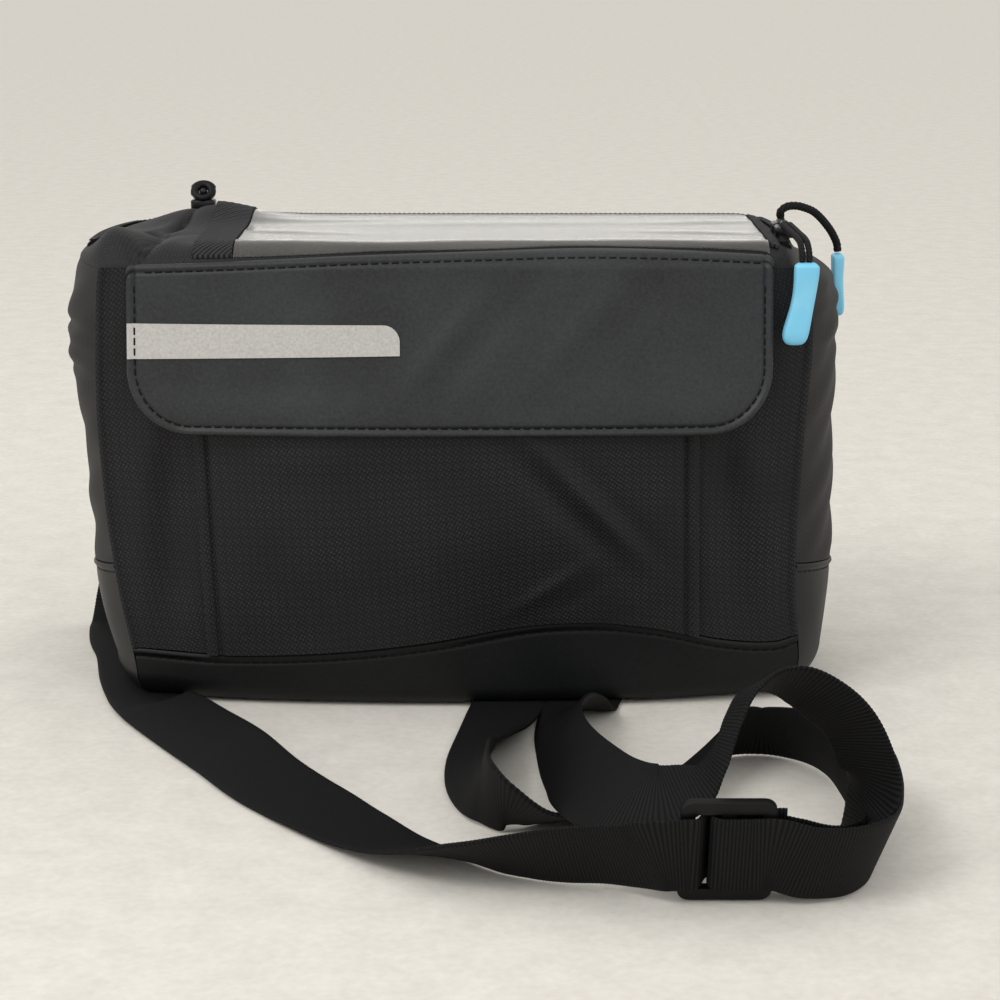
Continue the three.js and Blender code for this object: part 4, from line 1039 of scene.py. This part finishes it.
# %% [markdown]
# ## Lid
# The lid is a stiffened cloth top. It is crowned, round at its edges, lower at the left, and humped
# where the cloth gathers in the front left corner and behind the left tape. Sculpting could shape
# it, but a height over the plan keeps the film, tapes and zip exactly on it.

# %% Lid shape
SHARP_CREASE = -2
LID_MIDDLE, LID_HALF_WIDE, LID_HALF_DEEP = -4, 122, 48
LID_HUMPS = ((-117, -30, 8, 10, 16), (-90, 29, 5.5, 20, 13))
# Columns: middle x and y, height, reach in x and y, slant; the deepest are sharp creases
LID_WRINKLES = (
    (-104, 8, 0.9, 2.6, 18, 0.35),
    (-99, 16, -4.0, 2.4, 17, 0.2),
    (-112, -8, 0.8, 3, 14, -0.3),
    (-105, -36, -6.5, 2.2, 20, 0.14),
    (-118, -30, 0.8, 3, 12, 0.2),
    (-96, -30, 0.9, 4, 10, 0.2),
    (-114, -9, -4.0, 10, 3.5, 0),
    (-64, 40, 0.25, 8, 3, 0),
)


def side_x(side, y):
    part = (y - SEAM_FRONT) / (BACK - SEAM_FRONT)
    part = np.clip(part if side == "right" else 1 - part, 0, 1)
    return wall_line(side, part, WALL_TOP)[0]


def lid_rise(x, y):
    high = LID.rise * round_up(x - side_x("left", y), LID.left)
    high = high * round_up(side_x("right", y) - x, LID.right)
    high = high * round_up(y - front_y(x, WALL_TOP), LID.front) * round_up(BACK - y, LID.back)
    for at_x, at_y, hump, reach_x, reach_y in LID_HUMPS:
        share = np.minimum(high / LID.rise, 1)
        high = high + hump * bell(x - at_x, reach_x) * bell(y - at_y, reach_y) * share
    return high


def lid_top(x, y):
    return WALL_TOP + GAP + lid_rise(x, y)


# %% Lid
def lid_face(u, v, depth):
    x0 = mix(side_x("left", SEAM_FRONT), side_x("right", SEAM_FRONT), u)
    y = mix(front_y(x0, WALL_TOP), BACK, v)
    x = mix(side_x("left", y), side_x("right", y), u)
    rise = lid_rise(x, y)
    wrinkle = dents(LID_WRINKLES, x, y, SHARP_CREASE) * np.minimum(rise / LID.rise, 1)
    z = WALL_TOP + GAP + (rise + wrinkle) * (1 - depth / LID.rise)
    x_in = LID_MIDDLE + (x - LID_MIDDLE) * (1 - depth / LID_HALF_WIDE)
    return x_in, y * (1 - depth / LID_HALF_DEEP), z


crease_us = np.linspace(0.07, 0.22, 60)
lid_us = np.unique(np.concatenate([round_ends(0.06, 16, 110), crease_us]))
lid_vs = round_ends(0.14, 18, 44)
sheet_piece("lid_cloth", lid_us, lid_vs, lid_face, (0, CLOTH), LID_CLOTH, "lid_cloth", "lid")

# %% [markdown]
# ## Map window
# Clear film covers most of the lid between two tapes. It doesn't lie flat: long folds run across
# it and catch the light. Film and tapes lie on the same lid, so one function lays all three.

# %% Window and tapes
COVER_GAP = 0.35
WINDOW = Sizes(left=-74.5, right=102.8, inset=0.5, back=41.0, thick=0.4)
TAPE_LEFT = Sizes(left=-88, right=-75, inset=0.5, back=42, thick=1.0)
TAPE_RIGHT = Sizes(left=103.2, right=106.4, inset=6.5, back=37, thick=1.0)
# Columns: middle y and x, height, reach in y and x, slant of y with x
FILM_FOLDS = (
    (-10, -62, 0.45, 3.4, 20, -0.16),
    (20, -56, 0.35, 4.0, 26, 0.10),
    (14, 20, 0.25, 7.0, 60, 0.05),
    (-12, 84, 0.45, 3.4, 20, -0.16),
    (16, 88, 0.35, 4.0, 22, 0.12),
)
CREST_IN, CREST_HIGH, CREST_REACH = 9.5, 1.0, 4.2
TAPE_RIB = 0.12
COVER_ROWS = round_ends(0.12, 12, 60)


def film_shape(x, y, depth):
    wave = 1.6 * np.sin(x * 0.045) + 0.8 * np.sin(x * 0.11 + 1)
    crest = CREST_HIGH * bell(y - front_y(x, WALL_TOP) - CREST_IN - wave, CREST_REACH)
    return dents(FILM_FOLDS, y, x) + crest


def tape_shape(x, y, depth):
    return TAPE_RIB * np.sin(y * 4.2) * np.sin(x * 2.4) * (depth > 0)


def cover_piece(name, area, columns, shape, material, slot, node):
    def face(u, v, depth):
        x = mix(area.left, area.right, u)
        y = mix(flap_back(x, flap_high(x)) + area.inset, area.back, v)
        return x, y, lid_top(x, y) + COVER_GAP + depth + shape(x, y, depth)

    us, depths = np.linspace(0, 1, columns), (area.thick, 0)
    return sheet_piece(name, us, COVER_ROWS, face, depths, material, slot, node)


window = cover_piece("map_window_film", WINDOW, 150, film_shape, FILM, "clear_film", "map_window")
for node, area, columns in (
    ("window_binding_left", TAPE_LEFT, 40),
    ("window_binding_right", TAPE_RIGHT, 14),
):
    cover_piece(node + "_tape", area, columns, tape_shape, BINDING, "binding_tape", node)

# %% [markdown]
# ## Zip
# The zip runs from the right side round the back to the left. Its tape is a strip on the lid's
# edge and its teeth are a row of small moulded bars. An array modifier could repeat one tooth on a
# curve; placing each bar by its own direction gives the same and keeps the teeth upright.

# %% Zip tape
ZIP = Sizes(outer=2.5, inner=6.5, thick=0.8, gap=0.15, crown=0.35)
zip_sides = [
    ("right", np.linspace(0.17, 0.96, 60)),
    ("back", np.linspace(0.02, 0.98, 120)),
    ("left", np.linspace(0.04, 0.7, 50)),
]


def zip_line(inset):
    lines = [wall_point(side, part, float(WALL_TOP), inset) for side, part in zip_sides]
    return np.hstack(lines).T


zip_outer, zip_inner = zip_line(ZIP.outer), zip_line(ZIP.inner)


def zip_face(u, row, depth):
    plan = mix(zip_outer[row], zip_inner[row], u[..., None])
    x, y = plan[..., 0], plan[..., 1]
    crown = ZIP.crown * (1 - (2 * u - 1) ** 2) * (depth > 0)
    return x, y, lid_top(x, y) + ZIP.gap + depth + crown


sheet_piece(
    "lid_zip_tape", np.linspace(0, 1, 7), np.arange(len(zip_outer)),
    zip_face, (ZIP.thick, 0), ZIP_TAPE, "zip_tape", "lid_zip",
)


# %% Rows of small bars
def many_boxes(name, centres, aheads, ups, size):
    """Small bars with bevelled tops, one at each centre, as one mesh."""
    aheads = unit(aheads)
    sides = unit(np.cross(ups, aheads))
    ups = np.cross(aheads, sides)
    ring = np.array([(-1, -1), (1, -1), (1, 1), (-1, 1)], float)
    levels = ((ring, 0), (ring, 0.55), (ring * (0.72, 0.5), 1))
    shape = np.concatenate([np.c_[plan, np.full(4, height)] for plan, height in levels])
    faces = [(0, 3, 2, 1), (8, 9, 10, 11)]
    for low in (0, 4):
        for a, b in ((0, 1), (1, 2), (2, 3), (3, 0)):
            faces.append((low + a, low + b, low + 4 + b, low + 4 + a))
    half = shape * (size[0] / 2, size[1] / 2, size[2])
    points = centres[:, None] + aheads[:, None] * half[None, :, :1]
    points = points + sides[:, None] * half[None, :, 1:2] + ups[:, None] * half[None, :, 2:]
    starts = len(shape) * np.arange(len(centres))
    all_faces = [tuple(start + i for i in face) for start in starts.tolist() for face in faces]
    return new_piece(name, points.reshape(-1, 3), all_faces)


def even_points(points, pitch):
    at = along(points)
    even = np.arange(pitch / 2, at[-1], pitch)
    return np.stack([np.interp(even, at, column) for column in points.T], -1)


# %% Zip teeth
TOOTH = Sizes(pitch=1.8, long=2.6, wide=0.9, high=0.55, lift=0.15)
zip_middle = zip_line((ZIP.outer + ZIP.inner) / 2)
zip_height = lid_top(*zip_middle.T) + ZIP.gap + ZIP.thick + TOOTH.lift
teeth_line = even_points(np.c_[zip_middle, zip_height], TOOTH.pitch)
tooth_size = (TOOTH.wide, TOOTH.long, TOOTH.high)
teeth_ahead = np.gradient(teeth_line, axis=0)
teeth = many_boxes("lid_zip_teeth", teeth_line, teeth_ahead, (0, 0, 1), tooth_size)
with_material(teeth, ACETAL, "zip_tape")

# %% [markdown]
# ## Stitches
# Each stitch is a short raised bar of thread. They are laid end to end along the seams with a small
# gap, as a sewing machine leaves them. A bump pattern would be cheaper, but it would vanish at the
# edge of the flap, where the stitches are seen from the side.

# %% Flap stitching
STITCH = Sizes(long=2.4, gap=1.0, wide=0.62, high=0.42, sunk=0.25)
SEAM_STEPS, SEAM_TOP = 20, 146


def stitch_row(name, points, normals, slot="coated_cloth"):
    normals = np.broadcast_to(np.array(normals, float), points.shape)
    both = even_points(np.hstack([points, normals]), STITCH.long + STITCH.gap)
    centres, ups = both[:, :3], unit(both[:, 3:])
    aheads = np.gradient(centres, axis=0)
    centres = centres - ups * STITCH.high * STITCH.sunk
    size = (STITCH.long, STITCH.wide, STITCH.high)
    with_material(many_boxes(name, centres, aheads, ups, size), THREAD, slot)


def flap_point(x, z):
    return np.stack([x, flap_surface(x, z, FLAP.thick + flap_out(x, z)), z], -1)


inner_corner = FLAP.corner - STITCH_IN
turns = np.linspace(0, math.pi / 2, SEAM_STEPS)
left_x = FLAP.left + FLAP.corner - inner_corner * np.cos(turns)
right_x = FLAP.right - FLAP.corner + inner_corner * np.cos(turns[::-1])
corner_z = FLAP.low + FLAP.corner - inner_corner * np.sin(turns)
sides_z = np.linspace(SEAM_TOP, FLAP.low + FLAP.corner, SEAM_STEPS)
ends_x = [np.full(SEAM_STEPS, x) for x in (left_x[0], right_x[-1])]
outline_x = np.concatenate([ends_x[0], left_x, right_x, ends_x[1]])
outline_z = np.concatenate([sides_z, corner_z, corner_z[::-1], sides_z[::-1]])
fine = even_points(np.c_[outline_x, outline_z], 1.0)
stitch_row("flap_stitching", flap_point(*fine.T), (0, -1, 0))

# %% Other stitching
end_z = np.linspace(STRIPE.low_left + 0.6, STRIPE.high - 0.4, 12)
end_x = np.full(12, left_x[0])
end_y = flap_surface(end_x, end_z, stripe_out(end_x, end_z, STRIPE.thick))
stitch_row("stripe_end_stitching", np.c_[end_x, end_y, end_z], (0, -1, 0), "stripe_tape")
top_x = np.linspace(FLAP.left + 6, FLAP.right - 5, 160)
stitch_row("flap_top_stitching", flap_point(top_x, flap_high(top_x) - TOP_STITCH), (0, -1, 0.5))

for node, side, top_at in (
    ("front_band", "front", front_top),
    ("side_band_right", "right", side_top),
    ("side_band_left", "left", side_top),
):
    parts = np.linspace(0.015, 0.985, 140)
    z = top_at(*wall_line(side, parts, SIDE_BAND_TOP)) - GROOVE_AT
    x, y = wall_point(side, parts, z, GROOVE_DEEP)
    nx, ny = inward(side, parts, z)
    stitch_row(node + "_stitching", np.c_[x, y, z], np.c_[-nx, -ny, 0 * nx])

# %% [markdown]
# ## Slider on the strap
# The three-bar slider is one moulding. A block is added at its size, its corners are bevelled, two
# slots are cut by a boolean, and a small bevel softens every edge. It is then turned to lie with
# the webbing and its place is applied to the mesh.

# %% Modelling helpers
HARD_ANGLE = math.radians(40)


def start_block(name, size, place=(0, 0, 0)):
    bpy.ops.object.select_all(action="DESELECT")
    bpy.ops.mesh.primitive_cube_add(size=1, location=tuple(p * MM for p in place))
    block = bpy.context.object
    block.name = name
    block.scale = tuple(s * MM for s in size)
    bpy.ops.object.transform_apply(location=True, rotation=True, scale=True)
    return block


def edit_select(piece, kind, chosen):
    """Select the mesh elements of one kind for which chosen(element) is true, in edit mode."""
    bpy.ops.object.mode_set(mode="OBJECT")
    mesh = piece.data
    kinds = {"VERT": mesh.vertices, "EDGE": mesh.edges, "FACE": mesh.polygons}
    bpy.context.tool_settings.mesh_select_mode = [kind == name for name in kinds]
    for group in kinds.values():
        group.foreach_set("select", [False] * len(group))
    for element in kinds[kind]:
        element.select = bool(chosen(element))
    bpy.ops.object.mode_set(mode="EDIT")


def apply_modifier(piece, name, kind, **settings):
    bpy.context.view_layer.objects.active = piece
    modifier = piece.modifiers.new(name, kind)
    for key, value in settings.items():
        setattr(modifier, key, value)
    bpy.ops.object.modifier_apply(modifier=name)


def cut(piece, cutter):
    apply_modifier(piece, "slot", "BOOLEAN", object=cutter, operation="DIFFERENCE", solver="EXACT")
    bpy.data.objects.remove(cutter)


def soften(piece, width, segments=2, angle=35):
    limit = dict(limit_method="ANGLE", angle_limit=math.radians(angle))
    apply_modifier(piece, "soft_edge", "BEVEL", width=width * MM, segments=segments, **limit)


def settle(piece, matrix):
    """Move the finished mesh to its place, with the object left at the origin."""
    piece.data.transform(matrix)
    piece.data.polygons.foreach_set("use_smooth", [True] * len(piece.data.polygons))
    piece.data.set_sharp_from_angle(angle=HARD_ANGLE)
    piece.data.update()


def moved(x, y, z):
    return Matrix.Translation(Vector((x, y, z)) * MM)


def upright_edge(mesh):
    def chosen(edge):
        a, b = (mesh.vertices[i].co for i in edge.vertices)
        return abs(a.z - b.z) > 0.6 * MM and (a.xy - b.xy).length < 1e-6

    return chosen


# %% Three-bar slider
SLIDER_CORNER = 3.4
buckle_size = (2 * BUCKLE.half, 2 * BUCKLE.half_wide, BUCKLE.thick)
buckle = start_block("strap_slider_acetal", buckle_size)
edit_select(buckle, "EDGE", upright_edge(buckle.data))
bpy.ops.mesh.bevel(offset=SLIDER_CORNER * MM, segments=6, affect="EDGES")
bpy.ops.object.mode_set(mode="OBJECT")
slot_size = (SLOT_TO - SLOT_FROM, 2 * SLOT_HALF, 3 * BUCKLE.thick)
for side in (-1, 1):
    cut(buckle, start_block("slot_cutter", slot_size, (side * (SLOT_FROM + SLOT_TO) / 2, 0, 0)))
soften(buckle, 0.5, 3)
buckle_axes = Matrix((
    (1, buckle_wide[0], buckle_face[0], BUCKLE.x * MM),
    (0, buckle_wide[1], buckle_face[1], BUCKLE.y * MM),
    (0, buckle_wide[2], buckle_face[2], BUCKLE.z * MM),
    (0, 0, 0, 1),
))
settle(buckle, buckle_axes)
with_material(buckle, ACETAL, "acetal", "strap_slider")

# %% [markdown]
# ## Ring and tabs at the back
# The ring is a flat loop: a block whose front and back faces are inset and bridged, so that the
# middle opens. A curve with a round profile would suit a wire ring, but a moulded one has flat
# faces. Two short tabs of webbing hold the ring and the strap's sewn end.

# %% Ring and tabs
ring_high = RING_BACK.high - RING_BACK.low
ring = start_block("strap_ring_acetal", (RING_BACK.wide, RING_BACK.bar, ring_high))
edit_select(ring, "FACE", lambda face: abs(face.normal.y) > 0.9)
bpy.ops.mesh.inset(thickness=RING_BACK.bar * MM, depth=0)
bpy.ops.mesh.bridge_edge_loops()
bpy.ops.object.mode_set(mode="OBJECT")
soften(ring, 0.9, 3)
settle(ring, moved(RING_BACK.x, RING_BACK.y, (RING_BACK.low + RING_BACK.high) / 2))
with_material(ring, ACETAL, "acetal", "strap_ring")

TAB_TOP = 138
tab_line = [
    (RING_BACK.y - WRAP, TAB_TOP), *ring_wrap(high_bar, 180, 360, 9),
    (53.4, 127), (51.5, 132), (51.4, TAB_TOP),
]
webbing_band("strap_tab_right", back_rows(RING_BACK.x, tab_line))
webbing_band("strap_tab_left", back_rows(-108, [(52.4, z) for z in (84, 90, 95, 100, 106)]))

# %% [markdown]
# ## Zip sliders
# A zip slider is a plate with a bridge over it that holds the pull. It is modelled from a block:
# the plate is bevelled, and the bridge is a second block whose top is drawn in. The same steps are
# run for each of the three places.

# %% Zip slider body
SLIDER = Sizes(long=9, wide=6.4, plate=1.2, bridge=1.1, skirt=2.2, corner=1.6, clear=0.3)
BRIDGE_LONG, BRIDGE_WIDE, BRIDGE_TOP = 0.74, 0.42, (0.62, 0.8, 1)
slider_high = SLIDER.plate + 2 * SLIDER.bridge


def slider_foot(x, y, turn):
    """Height at which a slider clears the zip below it."""
    spread = np.linspace(-0.5, 0.5, 5)
    ahead, side = np.meshgrid(spread * SLIDER.long, spread * SLIDER.wide)
    px = x + ahead * math.cos(turn) - side * math.sin(turn)
    py = y + ahead * math.sin(turn) + side * math.cos(turn)
    return float(lid_top(px, py).max()) + ZIP.gap + ZIP.thick + TOOTH.high + SLIDER.clear


def slider_model(name):
    body = (SLIDER.long, SLIDER.wide, SLIDER.plate + SLIDER.skirt)
    plate = start_block(name, body, (0, 0, (SLIDER.plate - SLIDER.skirt) / 2))
    edit_select(plate, "EDGE", upright_edge(plate.data))
    bpy.ops.mesh.bevel(offset=SLIDER.corner * MM, segments=4, affect="EDGES")
    edit_select(plate, "FACE", lambda face: face.normal.z > 0.9)
    bpy.ops.mesh.inset(thickness=0.7 * MM, depth=0.35 * MM)
    bpy.ops.object.mode_set(mode="OBJECT")
    soften(plate, 0.25)
    bridge = (SLIDER.long * BRIDGE_LONG, SLIDER.wide * BRIDGE_WIDE, 2 * SLIDER.bridge)
    arch = start_block("bridge", bridge, (0, 0, slider_high - SLIDER.bridge))
    edit_select(arch, "FACE", lambda face: face.normal.z > 0.9)
    bpy.ops.transform.resize(value=BRIDGE_TOP)
    bpy.ops.object.mode_set(mode="OBJECT")
    soften(arch, 0.5, 3)
    bpy.ops.object.select_all(action="DESELECT")
    arch.select_set(True)
    plate.select_set(True)
    bpy.context.view_layer.objects.active = plate
    bpy.ops.object.join()
    return plate


LEFT_SLIDER = (-95, 43.5, 0.0)
SLIDERS = (
    ("zip_slider_left", *LEFT_SLIDER),
    ("zip_slider_right_front", 111.5, -8, math.pi / 2),
    ("zip_slider_right_back", 111.5, 2.5, math.pi / 2),
)
for name, x, y, turn in SLIDERS:
    slider = slider_model(name + "_zinc")
    settle(slider, moved(x, y, slider_foot(x, y, turn)) @ Matrix.Rotation(turn, 4, "Z"))
    with_material(slider, ZINC, "zip_metal", name)

# %% [markdown]
# ## Pulls
# The left slider carries a small loop of stiff cord with a bead in it. The two right ones have
# cords that end in blue rubber grips. The loop starts as a torus that is flattened and pinched. A
# grip starts as a block that is cut across at several heights, shaped slice by slice and rounded by
# subdivision. The cords are tubes of rings along a short route.

# %% Loop on the left slider
LOOP = Sizes(radius=3.1, tube=1.55, lean=math.radians(38), bead=3.5, pinch=2)
LOOP_FOOT, LOOP_HEAD = (0.86, 1, 1.15), (1.1, 1, 0.95)
loop_rise = LOOP.radius * math.cos(LOOP.lean) - LOOP.tube
loop_middle = moved(*LEFT_SLIDER[:2], slider_foot(*LEFT_SLIDER) + slider_high + loop_rise)
bpy.ops.object.select_all(action="DESELECT")
bpy.ops.mesh.primitive_torus_add(
    major_radius=LOOP.radius * MM, minor_radius=LOOP.tube * MM,
    major_segments=40, minor_segments=16,
)
loop = bpy.context.object
loop.name = "pull_loop_left_cord"
edit_select(loop, "VERT", lambda vertex: vertex.co.y < -LOOP.pinch * MM)
bpy.ops.transform.resize(value=LOOP_FOOT)
edit_select(loop, "VERT", lambda vertex: vertex.co.y > LOOP.pinch * MM)
bpy.ops.transform.resize(value=LOOP_HEAD)
bpy.ops.object.mode_set(mode="OBJECT")
settle(loop, loop_middle @ Matrix.Rotation(math.pi / 2 - LOOP.lean, 4, "X"))
with_material(loop, ACETAL, "pull_cord", "pull_loop_left")
bead = start_block("zip_slider_left_bead", (LOOP.bead,) * 3)
apply_modifier(bead, "round_form", "SUBSURF", levels=3, render_levels=3)
settle(bead, loop_middle)
with_material(bead, ZINC, "zip_metal", "zip_slider_left")

# %% Rubber grips
# Columns: node, x, y, top, foot, shift of the foot in x, half width in x and y
GRIPS = (
    ("pull_end_front", 113.8, -52.5, 153.6, 126.2, -3.4, 4.1, 3.0),
    ("pull_end_side", 134.1, 18, 147, 124.5, 0.5, 2.1, 4.1),
)
GRIP_SECTIONS = table(
    "down share shift",
    (0, 0.8, 0), (0.05, 0.98, 0), (0.12, 1.0, 0), (0.3, 0.92, 0.08), (0.5, 0.9, 0.3),
    (0.7, 0.98, 0.65), (0.86, 1.06, 0.92), (0.95, 0.92, 1), (1, 0.6, 1),
)
GRIP_CORNER, GRIP_ANGLE, SLICE_REACH = 0.55, 60, 0.02


def grip(name, x, y, high, low, shift, half_x, half_y):
    long = high - low
    block = start_block(name + "_rubber", (2 * half_x, 2 * half_y, long), (0, 0, -long / 2))
    bpy.ops.object.mode_set(mode="EDIT")
    for down in GRIP_SECTIONS["down"][1:-1]:
        bpy.ops.mesh.select_all(action="SELECT")
        bpy.ops.mesh.bisect(plane_co=(0, 0, -down * long * MM), plane_no=(0, 0, 1))
    for down, share, over in zip(*GRIP_SECTIONS.values()):
        level = -down * long * MM
        edit_select(block, "VERT", lambda vertex: abs(vertex.co.z - level) < SLICE_REACH * MM)
        bpy.ops.transform.resize(value=(share, share, 1), center_override=(0, 0, level))
        bpy.ops.transform.translate(value=(over * shift * MM, 0, 0))
    bpy.ops.object.mode_set(mode="OBJECT")
    soften(block, min(half_x, half_y) * GRIP_CORNER, 3, GRIP_ANGLE)
    apply_modifier(block, "smooth_form", "SUBSURF", levels=2, render_levels=2)
    settle(block, moved(x, y, high))
    return with_material(block, RUBBER, "pull_rubber", name)


grips = [grip(*row) for row in GRIPS]

# %% Pull cords
CORD_STEP, CORD_SIDES, CORD_ACROSS, BRAID = 0.8, 10, (0.2, 0.9, 0.37), 0.07
FRONT_RADIUS, SIDE_RADIUS, FRONT_APART = 1.05, 1.4, 1.15
FRONT_CORD = [
    (111.5, -13.2, 161), (112.5, -30, 160.3), (113.2, -46, 159.4), (113.4, -51.5, 156.4),
    (113.4, -52.5, 153.8),
]
SIDE_CORD = [
    (111.3, 1.5, 161.8), (111.0, 0.6, 163.6), (113, 1.2, 165.3), (116, 2.5, 165.6), (119, 4, 165),
    (124, 8, 162.6), (130, 14, 156.4), (133.4, 17.6, 150.8), (134, 18, 147.6),
]


def cord_tube(name, path, shift, radius, node):
    rows = np.array([(x + shift, y, z, 0, 0, 1) for x, y, z in path])
    route, even = smooth_route(rows, CORD_STEP)
    middle = route[:, :3]
    ahead = unit(np.gradient(middle, axis=0))
    side = unit(np.cross(ahead, CORD_ACROSS))
    up = np.cross(side, ahead)
    turn = np.linspace(0, 2 * math.pi, CORD_SIDES, endpoint=False)
    swell = radius * (1 + BRAID * np.where(np.arange(len(even)) % 2, 1, -1))
    round_ = side[:, None] * np.cos(turn)[:, None] + up[:, None] * np.sin(turn)[:, None]
    rings = middle[:, None] + swell[:, None, None] * round_
    flat = np.stack(np.broadcast_arrays(turn * radius, even[:, None]), -1)
    piece = with_material(ring_piece(name, rings, flat), CORD, "pull_cord", node)
    return piece, middle * MM, even[-1] * MM, radius


cords = [
    cord_tube("pull_cord_front_left", FRONT_CORD, -FRONT_APART, FRONT_RADIUS, "pull_cord_front"),
    cord_tube("pull_cord_front_right", FRONT_CORD, FRONT_APART, FRONT_RADIUS, "pull_cord_front"),
    cord_tube("pull_cord_side_braid", SIDE_CORD, 0, SIDE_RADIUS, "pull_cord_side"),
]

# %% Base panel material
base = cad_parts["base_panel"]
base.data.materials.clear()
base.data.materials.append(COATED)
